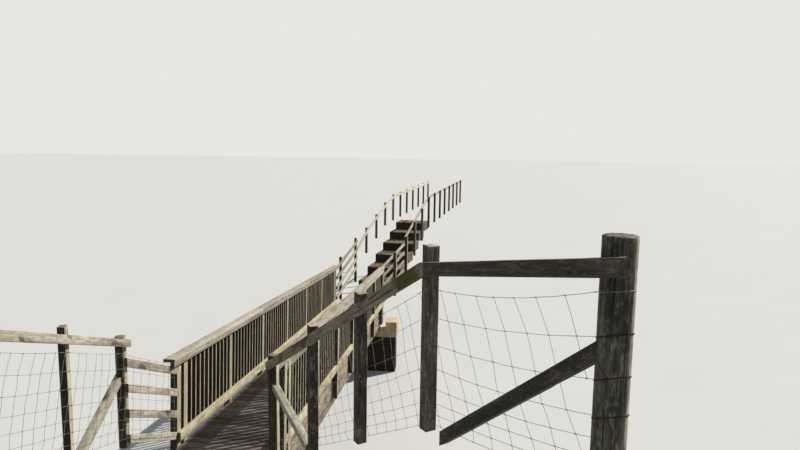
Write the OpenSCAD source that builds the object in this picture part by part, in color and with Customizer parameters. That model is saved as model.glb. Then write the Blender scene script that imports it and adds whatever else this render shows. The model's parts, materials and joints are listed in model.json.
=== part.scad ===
// Timber footbridge with baluster parapets, fence wings and a railed stepped approach.
// The bridge falls gently away from its near end. +Y runs along the bridge in plan,
// +X to the right of someone walking out over it and +Z up. The origin is the middle
// of the near abutment wall's flat underside.

/* [Bridge] */
// Number of bays between the main posts
bay_count = 6; // [2:1:8]
// Distance between main post centres, along the deck
bay_pitch = 1500; // [1200:10:1800]
// Fall of the deck away from the near end, in degrees
deck_slope = 4.2; // [0:0.1:7]
// Distance between the inner faces of the left and right parapet posts
parapet_gap = 1240; // [1000:10:1600]

/* [Beams and deck] */
// Width of each main beam
beam_width = 100; // [70:5:150]
// Depth of each main beam
beam_depth = 490; // [300:10:600]
// How far beams and boards run past the first and last main posts
beam_overrun = 350; // [280:10:450]
// Width of a cross bearer along the deck
bearer_width = 75; // [50:5:100]
// Depth of a cross bearer
bearer_depth = 150; // [100:10:250]
// Thickness of the deck boards
board_thick = 45; // [30:1:60]
// Width of a deck board
board_width = 145; // [95:5:200]
// Gap between deck boards
board_gap = 7; // [3:1:12]
// Gap between a board's end and the parapet posts
board_end_gap = 5; // [2:1:20]

/* [Parapets] */
// Post size along the deck
post_along = 100; // [75:5:125]
// Post size across the deck
post_across = 90; // [70:5:120]
// How far the posts reach below the walking surface, over the beam's face
post_drop = 400; // [250:10:450]
// Distance from the last main post to the end post beside it, between centres
end_post_offset = 180; // [150:5:240]
// Height of the cap's top above the walking surface
cap_height = 1130; // [950:10:1300]
// Thickness of the cap
cap_thick = 40; // [30:1:60]
// How far the cap overhangs the rails and posts on each side
cap_lip = 5; // [0:1:20]
// How far the left cap runs past the first main post
left_cap_run = 400; // [300:10:500]
// How far the right cap runs past the first main post, up to the newel
right_cap_run = 480; // [350:10:600]
// How far the cap runs past the last main post
cap_far_run = 300; // [260:10:400]
// Number of lengths that each cap is laid in
cap_lengths = 3; // [1:1:4]
// Gap between two lengths of cap
cap_joint = 3; // [1:1:10]
// Thickness of the parapet rails
rail_thick = 45; // [30:1:45]
// Depth of the inner top rail
inner_top_rail_depth = 60; // [45:5:120]
// Depth of the outer top rail, let in between the posts
outer_top_rail_depth = 95; // [45:5:120]
// Depth of the bottom rails
bottom_rail_depth = 110; // [60:5:140]
// Height of the bottom rails' underside above the walking surface
bottom_rail_low = 75; // [60:5:200]
// Width and thickness of a baluster
baluster_size = 45; // [30:1:45]
// Number of balusters in each bay
balusters_per_bay = 10; // [6:1:13]

/* [Bank seats] */
// Thickness of the seat slab
seat_thick = 165; // [100:5:300]
// Least thickness of the wedge pads under the beams
pad_least = 20; // [10:1:60]
// Length of a wedge pad along the beam
pad_length = 240; // [120:10:300]
// Distance from the beam's outer face to the cheek of the seat
cheek_clear = 190; // [140:10:300]
// Width of each cheek
cheek_width = 300; // [150:10:400]
// Height of each cheek above the seat slab
cheek_height = 255; // [100:5:400]
// How far the seat slab reaches under the beams, past the last main post
seat_reach = 70; // [20:5:120]
// Gap between a beam's end and the upstand of the seat
beam_end_gap = 15; // [5:1:40]
// Thickness of the upstand that holds back the bank behind the beams
upstand_thick = 100; // [80:5:200]
// Thickness of the abutment wall under each seat
wall_thick = 400; // [300:10:450]
// Height of the abutment wall
wall_height = 980; // [400:10:1500]
// How far the seat overhangs the wall at each side
wall_inset = 40; // [0:5:100]

/* [Fence timbers] */
// Depth of the fence rails, square to their length
fence_rail_depth = 88; // [70:2:125]
// Thickness of the fence rails
fence_rail_thick = 45; // [30:1:60]
// Width of the square fence posts
fence_post_size = 85; // [65:5:125]
// How far a post's top stands above the centre of its top rail
post_above_rail = 160; // [70:5:250]
// Height of the top rail's centre above the ground at a post
fence_rail_height = 1120; // [900:10:1300]
// Diameter of the round strainer post on the left
left_strainer_diameter = 112; // [80:2:220]
// Diameter of the round strainer post on the right
right_strainer_diameter = 165; // [140:5:240]
// Width of the square section of a strut
strut_size = 75; // [50:5:100]

/* [Near panel and left fence] */
// Number of rails in the near panel and the far panels
panel_rails = 4; // [3:1:5]
// Distance between panel rails, up the post
panel_rail_spacing = 275; // [200:5:350]
// Height of the near panel's lowest rail centre above the walking surface, at the bridge
near_panel_low = 165; // [100:5:250]
// Length of the near panel
near_panel_run = 1005; // [800:5:1600]
// Rise of the near panel towards the left strainer, in degrees
near_panel_slope = 24.5; // [0:0.5:35]
// Height of the left fence's rail above the near panel's top rail, at the strainer
left_rail_step = 180; // [0:5:250]
// Depth of the left fence's rail, square to its length
left_rail_depth = 76; // [60:2:125]
// How far the left fence's rail runs past its strainer's centre
left_rail_past = 30; // [0:5:60]
// Width of the left fence's square posts
left_post_size = 65; // [50:5:125]
// How far a left post's top stands above the centre of its rail
left_post_above_rail = 120; // [70:5:250]
// How far the left strainer's top stands above the centre of its rail
left_strainer_above_rail = 80; // [60:5:250]
// Turn of the left fence towards the path, in degrees
left_fence_turn = 9.7; // [0:0.1:25]
// Number of bays in the left fence
left_fence_bays = 3; // [1:1:6]
// Distance between the left fence's posts
left_fence_bay = 1230; // [900:10:1800]
// Rise of the left fence in degrees
left_fence_slope = 19.35; // [0:0.05:30]
// Height on the left strainer at which its strut bears, above the ground
left_strut_height = 755; // [500:5:900]
// Horizontal reach of the left strut
left_strut_reach = 990; // [500:10:1300]
// How far the strut's middle stands behind its strainer's middle
left_strut_set = 26; // [0:1:30]

/* [Right fence] */
// Width of the square newel post at the near end of the right parapet
newel_size = 100; // [80:5:125]
// Height of the newel above the walking surface
newel_height = 1325; // [1200:5:1500]
// Turn of the right fence from straight back along the bridge, in degrees
right_fence_turn = 36.8; // [20:0.1:60]
// Distance from the newel to the first square post
newel_bay = 1140; // [800:5:1400]
// Distance between the right fence's other square posts
right_fence_bay = 1000; // [800:5:1400]
// Number of bays from the newel to the last square post
right_fence_bays = 3; // [2:1:4]
// Distance from the last square post to the right strainer
strainer_bay = 1465; // [1200:5:2000]
// Depth of the right fence's rails, square to their length
wing_rail_depth = 92; // [80:2:130]
// Height of the sloping rail's centre at the newel, above the walking surface
sloping_rail_start = 1203; // [1100:1:1300]
// Slope of the rail from the newel to the last square post, in degrees
right_fence_slope = 28.0; // [10:0.1:35]
// Slope of the rail from there to the strainer, in degrees
strainer_rail_slope = 10.35; // [0:0.05:20]
// How far the sloping rail runs past the newel's centre
rail_tail = 30; // [0:5:250]
// How far past the last square post's centre the sloping rail meets the strainer rail
rail_joint_past = 35; // [0:5:40]
// Height of the right strainer above the ground
right_strainer_height = 1320; // [1100:10:1600]
// Height of the right strainer's top above the centre of its rail
strainer_above_rail = 145; // [70:5:200]
// How far the strainer rail runs past the right strainer's centre
strainer_rail_past = 110; // [0:5:150]
// Height on the right strainer at which its brace bears, above the ground
right_brace_height = 805; // [500:5:900]
// Horizontal reach of the right brace
right_brace_reach = 1280; // [700:10:1300]
// Depth of the right brace in the plane of the fence
right_brace_depth = 80; // [75:5:140]
// Height on the newel at which its brace bears, above the walking surface
newel_brace_height = 970; // [600:10:1100]
// Horizontal reach of the newel brace
newel_brace_reach = 1030; // [300:10:1100]

/* [Wire netting] */
// Thickness of the line and stay wires
wire_size = 3; // [2:0.5:5]
// Number of line wires
line_wires = 8; // [5:1:10]
// Height of the lowest line wire above the ground
wire_low = 70; // [40:10:200]
// Height of the highest line wire above the ground
wire_high = 1000; // [700:10:1050]
// Distance between stay wires of the left netting
left_stay_spacing = 150; // [100:10:400]
// Distance between stay wires of the right netting
right_stay_spacing = 210; // [100:10:400]

/* [Far approach] */
// Turn of the approach to the right of the bridge, in degrees
approach_turn = 7.5; // [0:0.1:15]
// Distance along the bridge from the last main post to the end of the far panels
far_panel_run = 3300; // [2400:10:4200]
// Distance of the approach's middle from the bridge's middle, at the far panels' end
approach_shift = 215; // [0:5:400]
// Distance between the left and right handrail posts' centres
approach_width = 1700; // [1400:10:2200]
// Height of the far panels' lowest rail centre above the walking surface, at the bridge
far_panel_low = 230; // [150:5:300]
// Rise of the far panels away from the bridge, in degrees
far_panel_slope = 5; // [0:0.5:10]
// Place of the left panel's middle post, as a share of the panel's run
left_panel_post = 0.26; // [0.2:0.01:0.8]
// Place of the right panel's middle post, as a share of the panel's run
right_panel_post = 0.5; // [0.2:0.01:0.8]
// Height of the far panels' middle posts above the centre of their top rail
panel_post_above_rail = 110; // [60:5:200]
// Number of handrail bays
handrail_bays = 10; // [3:1:12]
// Distance between handrail posts
handrail_bay = 1270; // [1000:10:1600]
// Height of the right handrail's centre above the line of the step edges
right_handrail_height = 1000; // [800:10:1100]
// Height of the left handrail's centre above the path past the steps
left_handrail_height = 900; // [800:10:1100]
// How much lower the left handrail runs beside the steps
left_handrail_drop = 170; // [0:5:300]
// Width of the square handrail posts
handrail_post_size = 75; // [60:5:100]
// Height of the handrail posts' tops above the handrail's centre
post_above_handrail = 60; // [40:5:150]
// How far the handrail posts' feet lie below the line of the step edges
post_bury = 100; // [0:10:300]
// Depth of the handrail
handrail_depth = 90; // [60:5:120]
// Thickness of the handrail
handrail_thick = 40; // [30:1:60]

/* [Steps and landing] */
// Number of steps
step_count = 6; // [3:1:9]
// Rise of each step
step_rise = 255; // [150:5:260]
// Going of each step
step_going = 975; // [600:5:1200]
// Width of the steps over their side boards
step_width = 1100; // [900:10:1400]
// Distance of the steps' middle to the right of the approach's middle
step_shift = 100; // [-200:10:200]
// Distance from the first riser back to the far panels' end
steps_setback = 950; // [800:10:1600]
// Thickness of the riser boards
riser_thick = 75; // [50:5:100]
// Thickness of the side boards
side_board_thick = 50; // [35:5:75]
// Depth to which the risers and side boards reach below the tread in front
board_bury = 60; // [30:5:100]
// How far the surface between the boards lies below their top edges
infill_drop = 15; // [5:1:40]
// Slope of the path past the top step, in degrees
path_slope = 1.2; // [0:0.1:4]

/* [Hidden] */
// Small overlap of cutting shapes past the faces that they cut
cut_past = 1;
// Sides of round posts
$fn = 48;

post_inner = parapet_gap / 2;
post_outer = post_inner + post_across;
rail_inner = post_inner - rail_thick;
cap_width = post_outer - rail_inner + 2 * cap_lip;
bridge_length = bay_count * bay_pitch;
beam_drop = board_thick + beam_depth;
cap_low = cap_height - cap_thick;

// The near abutment wall is centred on the origin, under the first end post
first_post_y = end_post_offset;
last_post_y = first_post_y + bridge_length * cos(deck_slope);
shelf_near = wall_height + seat_thick;
pad_half = pad_length / 2;
// The deck's height follows from the pads on the near seat
deck_top = shelf_near + pad_least + beam_drop / cos(deck_slope)
    + (pad_half - first_post_y) * tan(deck_slope);
far_deck = deck_top - bridge_length * sin(deck_slope);
// Underside of the beams at a distance y along the part
function soffit(y) = deck_top - (y - first_post_y) * tan(deck_slope)
    - beam_drop / cos(deck_slope);
far_pad_y = last_post_y + end_post_offset;
shelf_far = soffit(far_pad_y + pad_half) - pad_least;
seat_half = post_inner + cheek_clear + cheek_width;
seat_run = beam_overrun + beam_end_gap + upstand_thick;

// Ends of the fences and of the approach
near_end_post_face = first_post_y - (end_post_offset + post_along / 2) * cos(deck_slope);
left_strainer_r = left_strainer_diameter / 2;
left_strainer_x = -post_inner - fence_rail_thick - left_strainer_r;
left_strainer_y = near_end_post_face - near_panel_run + left_strainer_r;
left_rail_start = deck_top + near_panel_low + (panel_rails - 1) * panel_rail_spacing
    + near_panel_run * tan(near_panel_slope) + left_rail_step;
left_ground = left_rail_start - fence_rail_height;

newel_x = post_inner + post_across / 2;
newel_y = first_post_y - right_cap_run * cos(deck_slope) + cap_low * sin(deck_slope)
    - newel_size / 2;
wing_rail_face = fence_post_size / 2;
right_strainer_r = right_strainer_diameter / 2;
function wing_post_x(i) = newel_bay + (i - 1) * right_fence_bay;
wing_posts_run = wing_post_x(right_fence_bays);
strainer_run = wing_posts_run + strainer_bay;
rail_joint_x = wing_posts_run + rail_joint_past;
sloping_rail_z = deck_top + sloping_rail_start;
last_wing_rail_z = sloping_rail_z + wing_posts_run * tan(right_fence_slope);
strainer_rail_z = last_wing_rail_z + strainer_bay * tan(strainer_rail_slope);
strainer_ground = strainer_rail_z + strainer_above_rail - right_strainer_height;

approach_y = last_post_y + far_panel_run;
landing_top = far_deck;
steps_start = -steps_setback;
top_step_z = landing_top + step_count * step_rise;
stairs_run = (step_count - 1) * step_going;

// Placement helpers

// Frame of the sloping deck: origin on the walking surface at the first main posts
module on_deck() {
    translate([0, first_post_y, deck_top])
        rotate([-deck_slope, 0, 0]) children();
}

// Frame of the left fence: origin at the strainer, X up the fence, Y towards the path
module on_left_fence() {
    translate([left_strainer_x, left_strainer_y, 0])
        rotate([0, 0, left_fence_turn - 90]) children();
}

// Frame of the right fence: origin at the newel, X along the fence, Y away from the path
module on_right_fence() {
    translate([newel_x, newel_y, 0])
        rotate([0, 0, right_fence_turn - 90]) children();
}

// Frame of the approach: origin between the far panels' ends, X across, Y along
module on_approach() {
    translate([approach_shift, approach_y, 0])
        rotate([0, 0, -approach_turn]) children();
}

// Frame of the steps: beside the middle of the approach
module on_steps() {
    on_approach() translate([step_shift, 0, 0]) children();
}

// Box between two corners
module block(low, high) {
    translate(low) cube(high - low);
}

// Upright board from x0 to x1 with plumb ends, its centre line climbing from z0 to z1,
// between the depths y0 and y1; depth is measured square to the board's length
module raking_board(x0, x1, z0, z1, y0, y1, depth) {
    half = depth / 2 / cos(atan2(z1 - z0, x1 - x0));
    translate([0, y1, 0])
        rotate([90, 0, 0])
            linear_extrude(y1 - y0)
                polygon([[x0, z0 - half], [x1, z1 - half], [x1, z1 + half], [x0, z0 + half]]);
}

// Raking board between two plan points, centred on the line between them
module board_between(a, b, z0, z1, thick, depth, offset = 0) {
    run = norm(b - a);
    translate([a[0], a[1], 0])
        rotate([0, 0, atan2(b[1] - a[1], b[0] - a[0])])
            raking_board(0, run, z0, z1, offset - thick / 2, offset + thick / 2, depth);
}

// Square post with a flat foot and a top that sheds water to one side
module square_post(size, foot, top, weather = 5) {
    translate([0, size / 2, 0])
        rotate([90, 0, 0])
            linear_extrude(size)
                polygon([
                    [-size / 2, foot], [size / 2, foot],
                    [size / 2, top - weather], [-size / 2, top]
                ]);
}

// Round post with a slightly domed top
module round_post(radius, foot, top, crown = 14) {
    rotate_extrude()
        polygon([[0, foot], [radius, foot], [radius, top - crown], [radius - crown, top], [0, top]]);
}

// Abutments

module abutment_wall() {
    half = seat_half - wall_inset;
    block([-half, -wall_thick / 2, 0], [half, wall_thick / 2, wall_height]);
}

// Bank seat with cheeks at its sides and an upstand behind the beam ends.
// Y is measured from the middle of the wall towards the gully; top is the upstand's top.
module bank_seat(shelf, top) {
    back = -(seat_run - end_post_offset);
    front = end_post_offset + seat_reach;
    block([-seat_half, back, shelf - seat_thick], [seat_half, front, shelf]);
    for (side = [-1, 1])
        translate([side * (seat_half - cheek_width / 2), 0, 0])
            block([-cheek_width / 2, back, shelf - cut_past],
                [cheek_width / 2, front, shelf + cheek_height]);
    block([-post_inner, back, shelf - cut_past], [post_inner, back + upstand_thick, top]);
}

module near_abutment_wall() {
    color("dimgray") abutment_wall();
}

module near_bank_seat() {
    color("burlywood")
        bank_seat(shelf_near, deck_top + (beam_overrun + beam_end_gap) * tan(deck_slope));
}

module far_abutment_wall() {
    color("dimgray")
        translate([0, far_pad_y, shelf_far - seat_thick - wall_height]) abutment_wall();
}

module far_bank_seat() {
    color("burlywood")
        translate([0, far_pad_y, 0])
            rotate([0, 0, 180]) bank_seat(shelf_far, landing_top - infill_drop);
}

// Wedges that carry the sloping beams on the level seats
module wedge_pad(y, shelf) {
    rotate([90, 0, 90])
        linear_extrude(beam_width)
            polygon([
                [y - pad_half, shelf], [y + pad_half, shelf],
                [y + pad_half, soffit(y + pad_half)], [y - pad_half, soffit(y - pad_half)]
            ]);
}

module bearing_pads() {
    color("gray")
        for (x = [-post_inner, post_inner - beam_width])
            translate([x, 0, 0]) {
                wedge_pad(0, shelf_near);
                wedge_pad(far_pad_y, shelf_far);
            }
}

// Beams and deck

module main_beam() {
    on_deck()
        block([post_inner - beam_width, -beam_overrun, -beam_drop],
            [post_inner, bridge_length + beam_overrun, -board_thick]);
}

module left_main_beam() {
    color("tan") mirror([1, 0, 0]) main_beam();
}

module right_main_beam() {
    color("tan") main_beam();
}

module cross_bearers() {
    reach = post_inner - beam_width;
    color("sienna")
        on_deck()
            for (bay = [0 : bay_count])
                translate([0, bay * bay_pitch, 0])
                    block([-reach, -bearer_width / 2, -board_thick - bearer_depth],
                        [reach, bearer_width / 2, -board_thick]);
}

module deck_boards() {
    half = post_inner - board_end_gap;
    deck_run = bridge_length + 2 * beam_overrun;
    count = floor((deck_run + board_gap) / (board_width + board_gap));
    pitch = (deck_run - board_width) / (count - 1);
    color("rosybrown")
        on_deck()
            for (i = [0 : count - 1])
                translate([0, i * pitch - beam_overrun, 0])
                    block([-half, 0, -board_thick], [half, board_width, 0]);
}

// Parapet pieces, drawn for the right side and mirrored for the left

module parapet_post(y) {
    translate([0, y, 0])
        block([post_inner, -post_along / 2, -post_drop], [post_outer, post_along / 2, cap_low]);
}

module parapet_posts() {
    on_deck() {
        for (bay = [0 : bay_count]) parapet_post(bay * bay_pitch);
        for (y = [-end_post_offset, bridge_length + end_post_offset]) parapet_post(y);
    }
}

// One rail over the posts' faces, in one length from near_run before the first main post
module inner_rail(near_run, low, high) {
    end = bridge_length + end_post_offset + post_along / 2;
    on_deck() block([rail_inner, -near_run, low], [post_inner, end, high]);
}

// Rails let in between the posts: one in each bay and one at each end post
module outer_rails(low, high) {
    posts = concat(-end_post_offset, [for (bay = [0 : bay_count]) bay * bay_pitch],
        bridge_length + end_post_offset);
    on_deck()
        for (i = [1 : len(posts) - 1])
            block([post_outer - rail_thick, posts[i - 1] + post_along / 2, low],
                [post_outer, posts[i] - post_along / 2, high]);
}

module bottom_rails() {
    high = bottom_rail_low + bottom_rail_depth;
    inner_rail(end_post_offset + post_along / 2, bottom_rail_low, high);
    outer_rails(bottom_rail_low, high);
}

// The inner top rail runs on under the cap to its near end
module top_rails(near_run) {
    inner_rail(near_run, cap_low - inner_top_rail_depth, cap_low);
    outer_rails(cap_low - outer_top_rail_depth, cap_low);
}

// Balusters with the same clear gap between each other and beside the posts
module balusters() {
    pitch = (bay_pitch - post_along + baluster_size) / (balusters_per_bay + 1);
    start = (post_along - baluster_size) / 2;
    on_deck()
        for (bay = [0 : bay_count - 1], i = [1 : balusters_per_bay])
            translate([0, bay * bay_pitch + start + i * pitch, 0])
                block([post_inner, -baluster_size / 2, bottom_rail_low],
                    [post_inner + baluster_size, baluster_size / 2, cap_low]);
}

module cap(near_run) {
    run = bridge_length + near_run + cap_far_run;
    length = (run - (cap_lengths - 1) * cap_joint) / cap_lengths;
    on_deck()
        for (i = [0 : cap_lengths - 1])
            translate([rail_inner - cap_lip, i * (length + cap_joint) - near_run, cap_low])
                cube([cap_width, length, cap_thick]);
}

module left_side() {
    mirror([1, 0, 0]) children();
}

module left_parapet_posts() {
    color("darkkhaki") left_side() parapet_posts();
}

module left_bottom_rails() {
    color("wheat") left_side() bottom_rails();
}

module left_top_rails() {
    color("wheat") left_side() top_rails(left_cap_run);
}

module left_balusters() {
    color("tan") left_side() balusters();
}

module left_cap() {
    color("beige") left_side() cap(left_cap_run);
}

module right_parapet_posts() {
    color("darkkhaki") parapet_posts();
}

module right_bottom_rails() {
    color("wheat") bottom_rails();
}

// The plumb newel stops the rail just short of the cap's end
module right_top_rails() {
    color("wheat") top_rails(right_cap_run - inner_top_rail_depth * tan(deck_slope));
}

module right_balusters() {
    color("tan") balusters();
}

module right_cap() {
    color("beige") cap(right_cap_run);
}

// Near panel and left fence

// Everything between the outer faces of the bridge's end posts, which lean with the deck
module between_end_posts() {
    reach = end_post_offset + post_along / 2;
    on_deck()
        block([-2 * post_outer, -reach, -beam_drop],
            [2 * post_outer, bridge_length + reach, 2 * cap_height]);
}

// The rails butt the leaning face of the end post and pass the strainer
module near_panel_rails() {
    x = -post_inner - fence_rail_thick / 2;
    lap = post_along;
    slope = tan(near_panel_slope);
    low = deck_top + near_panel_low;
    color("wheat")
        difference() {
            for (i = [0 : panel_rails - 1])
                let (z = low + i * panel_rail_spacing)
                    board_between([x, near_end_post_face + lap], [x, near_end_post_face - near_panel_run],
                        z - lap * slope, z + near_panel_run * slope, fence_rail_thick, fence_rail_depth);
            between_end_posts();
        }
}

module left_strainer_post() {
    color("olivedrab")
        translate([left_strainer_x, left_strainer_y, 0])
            round_post(left_strainer_r, left_ground, left_rail_start + left_strainer_above_rail);
}

// The rail's back face touches the strainer, and the square posts stand against it too
left_post_y = left_strainer_r - left_post_size / 2;
function left_rise(x) = x * tan(left_fence_slope);

module left_fence_posts() {
    color("olive")
        on_left_fence()
            for (i = [1 : left_fence_bays])
                let (x = i * left_fence_bay)
                    translate([x, left_post_y, left_rise(x)])
                        square_post(left_post_size, left_ground,
                            left_rail_start + left_post_above_rail);
}

module left_fence_rail() {
    start = -left_rail_past;
    end = left_fence_bays * left_fence_bay + left_post_size / 2;
    color("wheat")
        on_left_fence()
            raking_board(start, end, left_rail_start + left_rise(start),
                left_rail_start + left_rise(end), left_strainer_r,
                left_strainer_r + fence_rail_thick, left_rail_depth);
}

// Strut scribed to the round strainer, its foot cut level with the sloping ground
module left_fence_strut() {
    top = left_ground + left_strut_height;
    foot = left_ground + left_rise(left_strut_reach);
    color("wheat")
        on_left_fence()
            difference() {
                raking_board(0, left_strut_reach, top, foot + strut_size / 2,
                    -left_strut_set - strut_size / 2, -left_strut_set + strut_size / 2, strut_size);
                translate([0, 0, top - 2 * strut_size])
                    cylinder(r = left_strainer_r, h = 4 * strut_size);
            }
}

// Wire netting: line wires along the slope and plumb stay wires, on one flat side of
// the posts, from x0 to x1 with the ground at z0 and z1
function wire_height(i) = wire_low + (wire_high - wire_low) * pow(i / (line_wires - 1), 1.25);

module netting(x0, x1, z0, z1, face, spacing) {
    slope = (z1 - z0) / (x1 - x0);
    stays = floor((x1 - x0) / spacing);
    for (i = [0 : line_wires - 1])
        raking_board(x0, x1, z0 + wire_height(i), z1 + wire_height(i),
            face, face + wire_size, wire_size);
    for (i = [1 : stays])
        let (x = x0 + (i - 0.5) * spacing)
            translate([x, face, z0 + (x - x0) * slope])
                block([-wire_size / 2, 0, wire_low], [wire_size / 2, wire_size, wire_high]);
}

// Netting on the path side of the posts, from just past the panel rails' ends
module left_netting() {
    face = left_strainer_r;
    start = wire_size
        + (left_strainer_r + (face + wire_size) * sin(left_fence_turn)) / cos(left_fence_turn);
    end = left_fence_bays * left_fence_bay + left_post_size / 2;
    color("silver") {
        on_left_fence()
            netting(start, end, left_ground + left_rise(start), left_ground + left_rise(end),
                face, left_stay_spacing);
        near_panel_netting();
    }
}

// Netting over the path side of the near panel's rails, from the end post to their ends
module near_panel_netting() {
    lap = post_along;
    slope = tan(near_panel_slope);
    ground = left_ground - near_panel_run * slope;
    difference() {
        translate([-post_inner, near_end_post_face, 0])
            rotate([0, 0, -90])
                netting(-lap, near_panel_run, ground - lap * slope, left_ground,
                    0, left_stay_spacing);
        between_end_posts();
        left_top_rails();
    }
}

// Right fence

// Centre height of the rail line above the fence at a distance x from the newel
function wing_rail_z(x) = x < wing_posts_run
    ? sloping_rail_z + x * tan(right_fence_slope)
    : last_wing_rail_z + (x - wing_posts_run) * tan(strainer_rail_slope);
function wing_ground(x) = wing_rail_z(x) - fence_rail_height;

// The sloping rail's upper end is trimmed to the line of the strainer rail's top
module sloping_rail_shape() {
    low = -wing_rail_face - fence_rail_thick;
    trim = wing_rail_depth / cos(strainer_rail_slope);
    trim_run = 2 * wing_rail_depth;
    rise = rail_joint_past * tan(strainer_rail_slope);
    difference() {
        raking_board(-rail_tail, rail_joint_x, wing_rail_z(-rail_tail),
            sloping_rail_z + rail_joint_x * tan(right_fence_slope),
            low, -wing_rail_face, wing_rail_depth);
        raking_board(rail_joint_x - trim_run, rail_joint_x + cut_past,
            last_wing_rail_z + rise + trim - trim_run * tan(strainer_rail_slope),
            last_wing_rail_z + rise + trim + cut_past * tan(strainer_rail_slope),
            low - cut_past, -wing_rail_face + cut_past, wing_rail_depth);
    }
}

// The newel stands square to the parapet and is housed for the sloping rail
module newel_post() {
    color("darkkhaki")
        difference() {
            translate([newel_x, newel_y, 0])
                square_post(newel_size, deck_top, deck_top + newel_height);
            on_right_fence() sloping_rail_shape();
        }
}

module newel_brace() {
    top = deck_top + newel_brace_height;
    foot = wing_ground(newel_brace_reach) + strut_size / 2;
    color("wheat")
        difference() {
            on_right_fence()
                raking_board(0, newel_brace_reach, top, foot, brace_y, brace_y + strut_size,
                    strut_size);
            translate([newel_x, newel_y, 0])
                block([-newel_size, -newel_size / 2, deck_top],
                    [newel_size / 2, newel_size, deck_top + newel_height]);
        }
}

module right_fence_posts() {
    color("olive")
        on_right_fence()
            for (i = [1 : right_fence_bays])
                let (x = wing_post_x(i))
                    translate([x, 0, 0])
                        square_post(fence_post_size, wing_ground(x), wing_rail_z(x) + post_above_rail);
}

right_strainer_y = right_strainer_r - wing_rail_face;
brace_y = wing_rail_face - strut_size;

module right_strainer_post() {
    color("olivedrab")
        on_right_fence()
            translate([strainer_run, right_strainer_y, 0])
                round_post(right_strainer_r, strainer_ground, strainer_ground + right_strainer_height);
}

module sloping_rail() {
    color("olive") on_right_fence() sloping_rail_shape();
}

module strainer_rail() {
    end = strainer_run + strainer_rail_past;
    color("olive")
        on_right_fence()
            raking_board(rail_joint_x, end, wing_rail_z(rail_joint_x), wing_rail_z(end),
                -wing_rail_face - fence_rail_thick, -wing_rail_face, wing_rail_depth);
}

module strainer_brace() {
    top = strainer_ground + right_brace_height;
    foot = strainer_ground - right_brace_reach * tan(strainer_rail_slope) + right_brace_depth / 2;
    color("olive")
        on_right_fence()
            difference() {
                raking_board(strainer_run - right_brace_reach, strainer_run, foot, top,
                    brace_y, brace_y + strut_size,
                    right_brace_depth);
                translate([strainer_run, right_strainer_y, top - 3 * right_brace_depth])
                    cylinder(r = right_strainer_r, h = 6 * right_brace_depth);
            }
}

module right_netting() {
    face = fence_post_size / 2;
    start = newel_size;
    end = strainer_run - sqrt(pow(right_strainer_r, 2) - pow(face + wire_size / 2 - right_strainer_y, 2));
    color("silver")
        on_right_fence() {
            netting(start, wing_posts_run, wing_ground(start), wing_ground(wing_posts_run),
                face, right_stay_spacing);
            netting(wing_posts_run, end, wing_ground(wing_posts_run), wing_ground(end),
                face, right_stay_spacing);
        }
}

// Far panels and handrails

// Plan points of the far panels: the bridge's end posts and the first handrail posts
panel_start_y = last_post_y + end_post_offset * cos(deck_slope) + post_along / 2;
function approach_point(x, y) = [
    approach_shift + x * cos(approach_turn) + y * sin(approach_turn),
    approach_y - x * sin(approach_turn) + y * cos(approach_turn)
];
function panel_end(side) = approach_point(side * approach_width / 2, 0);
function panel_start(side) = [side * (post_inner + handrail_post_size / 2), panel_start_y];
function panel_point(side, share) = panel_start(side) * (1 - share) + panel_end(side) * share;
panel_base = far_deck - end_post_offset * sin(deck_slope);
panel_rise = far_panel_run * tan(far_panel_slope);

// Height of the line of the step edges at a distance y along the approach
function path_z(y) = y < steps_start + stairs_run
    ? landing_top + step_rise * (1 + max(-1, (y - steps_start) / step_going))
    : top_step_z + (y - steps_start - stairs_run) * tan(path_slope);

// The last post of each panel also carries the start of the handrail
module far_panel_posts() {
    top_rail = panel_base + far_panel_low + (panel_rails - 1) * panel_rail_spacing;
    color("olive")
        for (side = [-1, 1], share = [side < 0 ? left_panel_post : right_panel_post, 1])
            let (p = panel_point(side, share), start = panel_start(side), end = panel_end(side),
                own_top = top_rail + share * panel_rise + panel_post_above_rail)
                translate([p[0], p[1], 0])
                    rotate([0, 0, atan2(end[1] - start[1], end[0] - start[0])])
                        square_post(handrail_post_size, landing_top - infill_drop,
                            share < 1 ? own_top : max(own_top, handrail_z(side, 0) + post_above_handrail));
}

// Rails on the path side of the panel's posts, butting the bridge's leaning end post
module far_panel_rails(side) {
    inset = side * (handrail_post_size + handrail_thick) / 2;
    difference() {
        for (i = [0 : panel_rails - 1])
            let (low = panel_base + far_panel_low + i * panel_rail_spacing)
                board_between(panel_start(side), panel_end(side), low, low + panel_rise,
                    handrail_thick, fence_rail_depth, inset);
        between_end_posts();
    }
}

module far_left_panel_rails() {
    color("wheat") far_panel_rails(-1);
}

module far_right_panel_rails() {
    color("wheat") far_panel_rails(1);
}

function left_drops(i) = i == 0 ? 2 : i * handrail_bay < steps_start + stairs_run ? 1 : 0;
function handrail_z(side, i) = path_z(i * handrail_bay)
    + (side > 0 ? right_handrail_height : left_handrail_height - left_drops(i) * left_handrail_drop);

module handrail_posts(side) {
    on_approach()
        for (i = [1 : handrail_bays])
            translate([side * approach_width / 2, i * handrail_bay, 0])
                square_post(handrail_post_size, path_z(i * handrail_bay) - post_bury,
                    handrail_z(side, i) + post_above_handrail);
}

// One continuous rail that bends at the posts
module handrail(side) {
    x = side > 0 ? approach_width / 2 - handrail_post_size / 2 - handrail_thick
        : -approach_width / 2 + handrail_post_size / 2;
    stations = [for (i = [0 : handrail_bays]) [i * handrail_bay, handrail_z(side, i)]];
    half = handrail_depth / 2;
    on_approach()
        translate([x, 0, 0])
            rotate([90, 0, 90])
                linear_extrude(handrail_thick)
                    polygon(concat(
                        [for (p = stations) p - [0, half]],
                        [for (i = [handrail_bays : -1 : 0]) stations[i] + [0, half]]
                    ));
}

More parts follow.
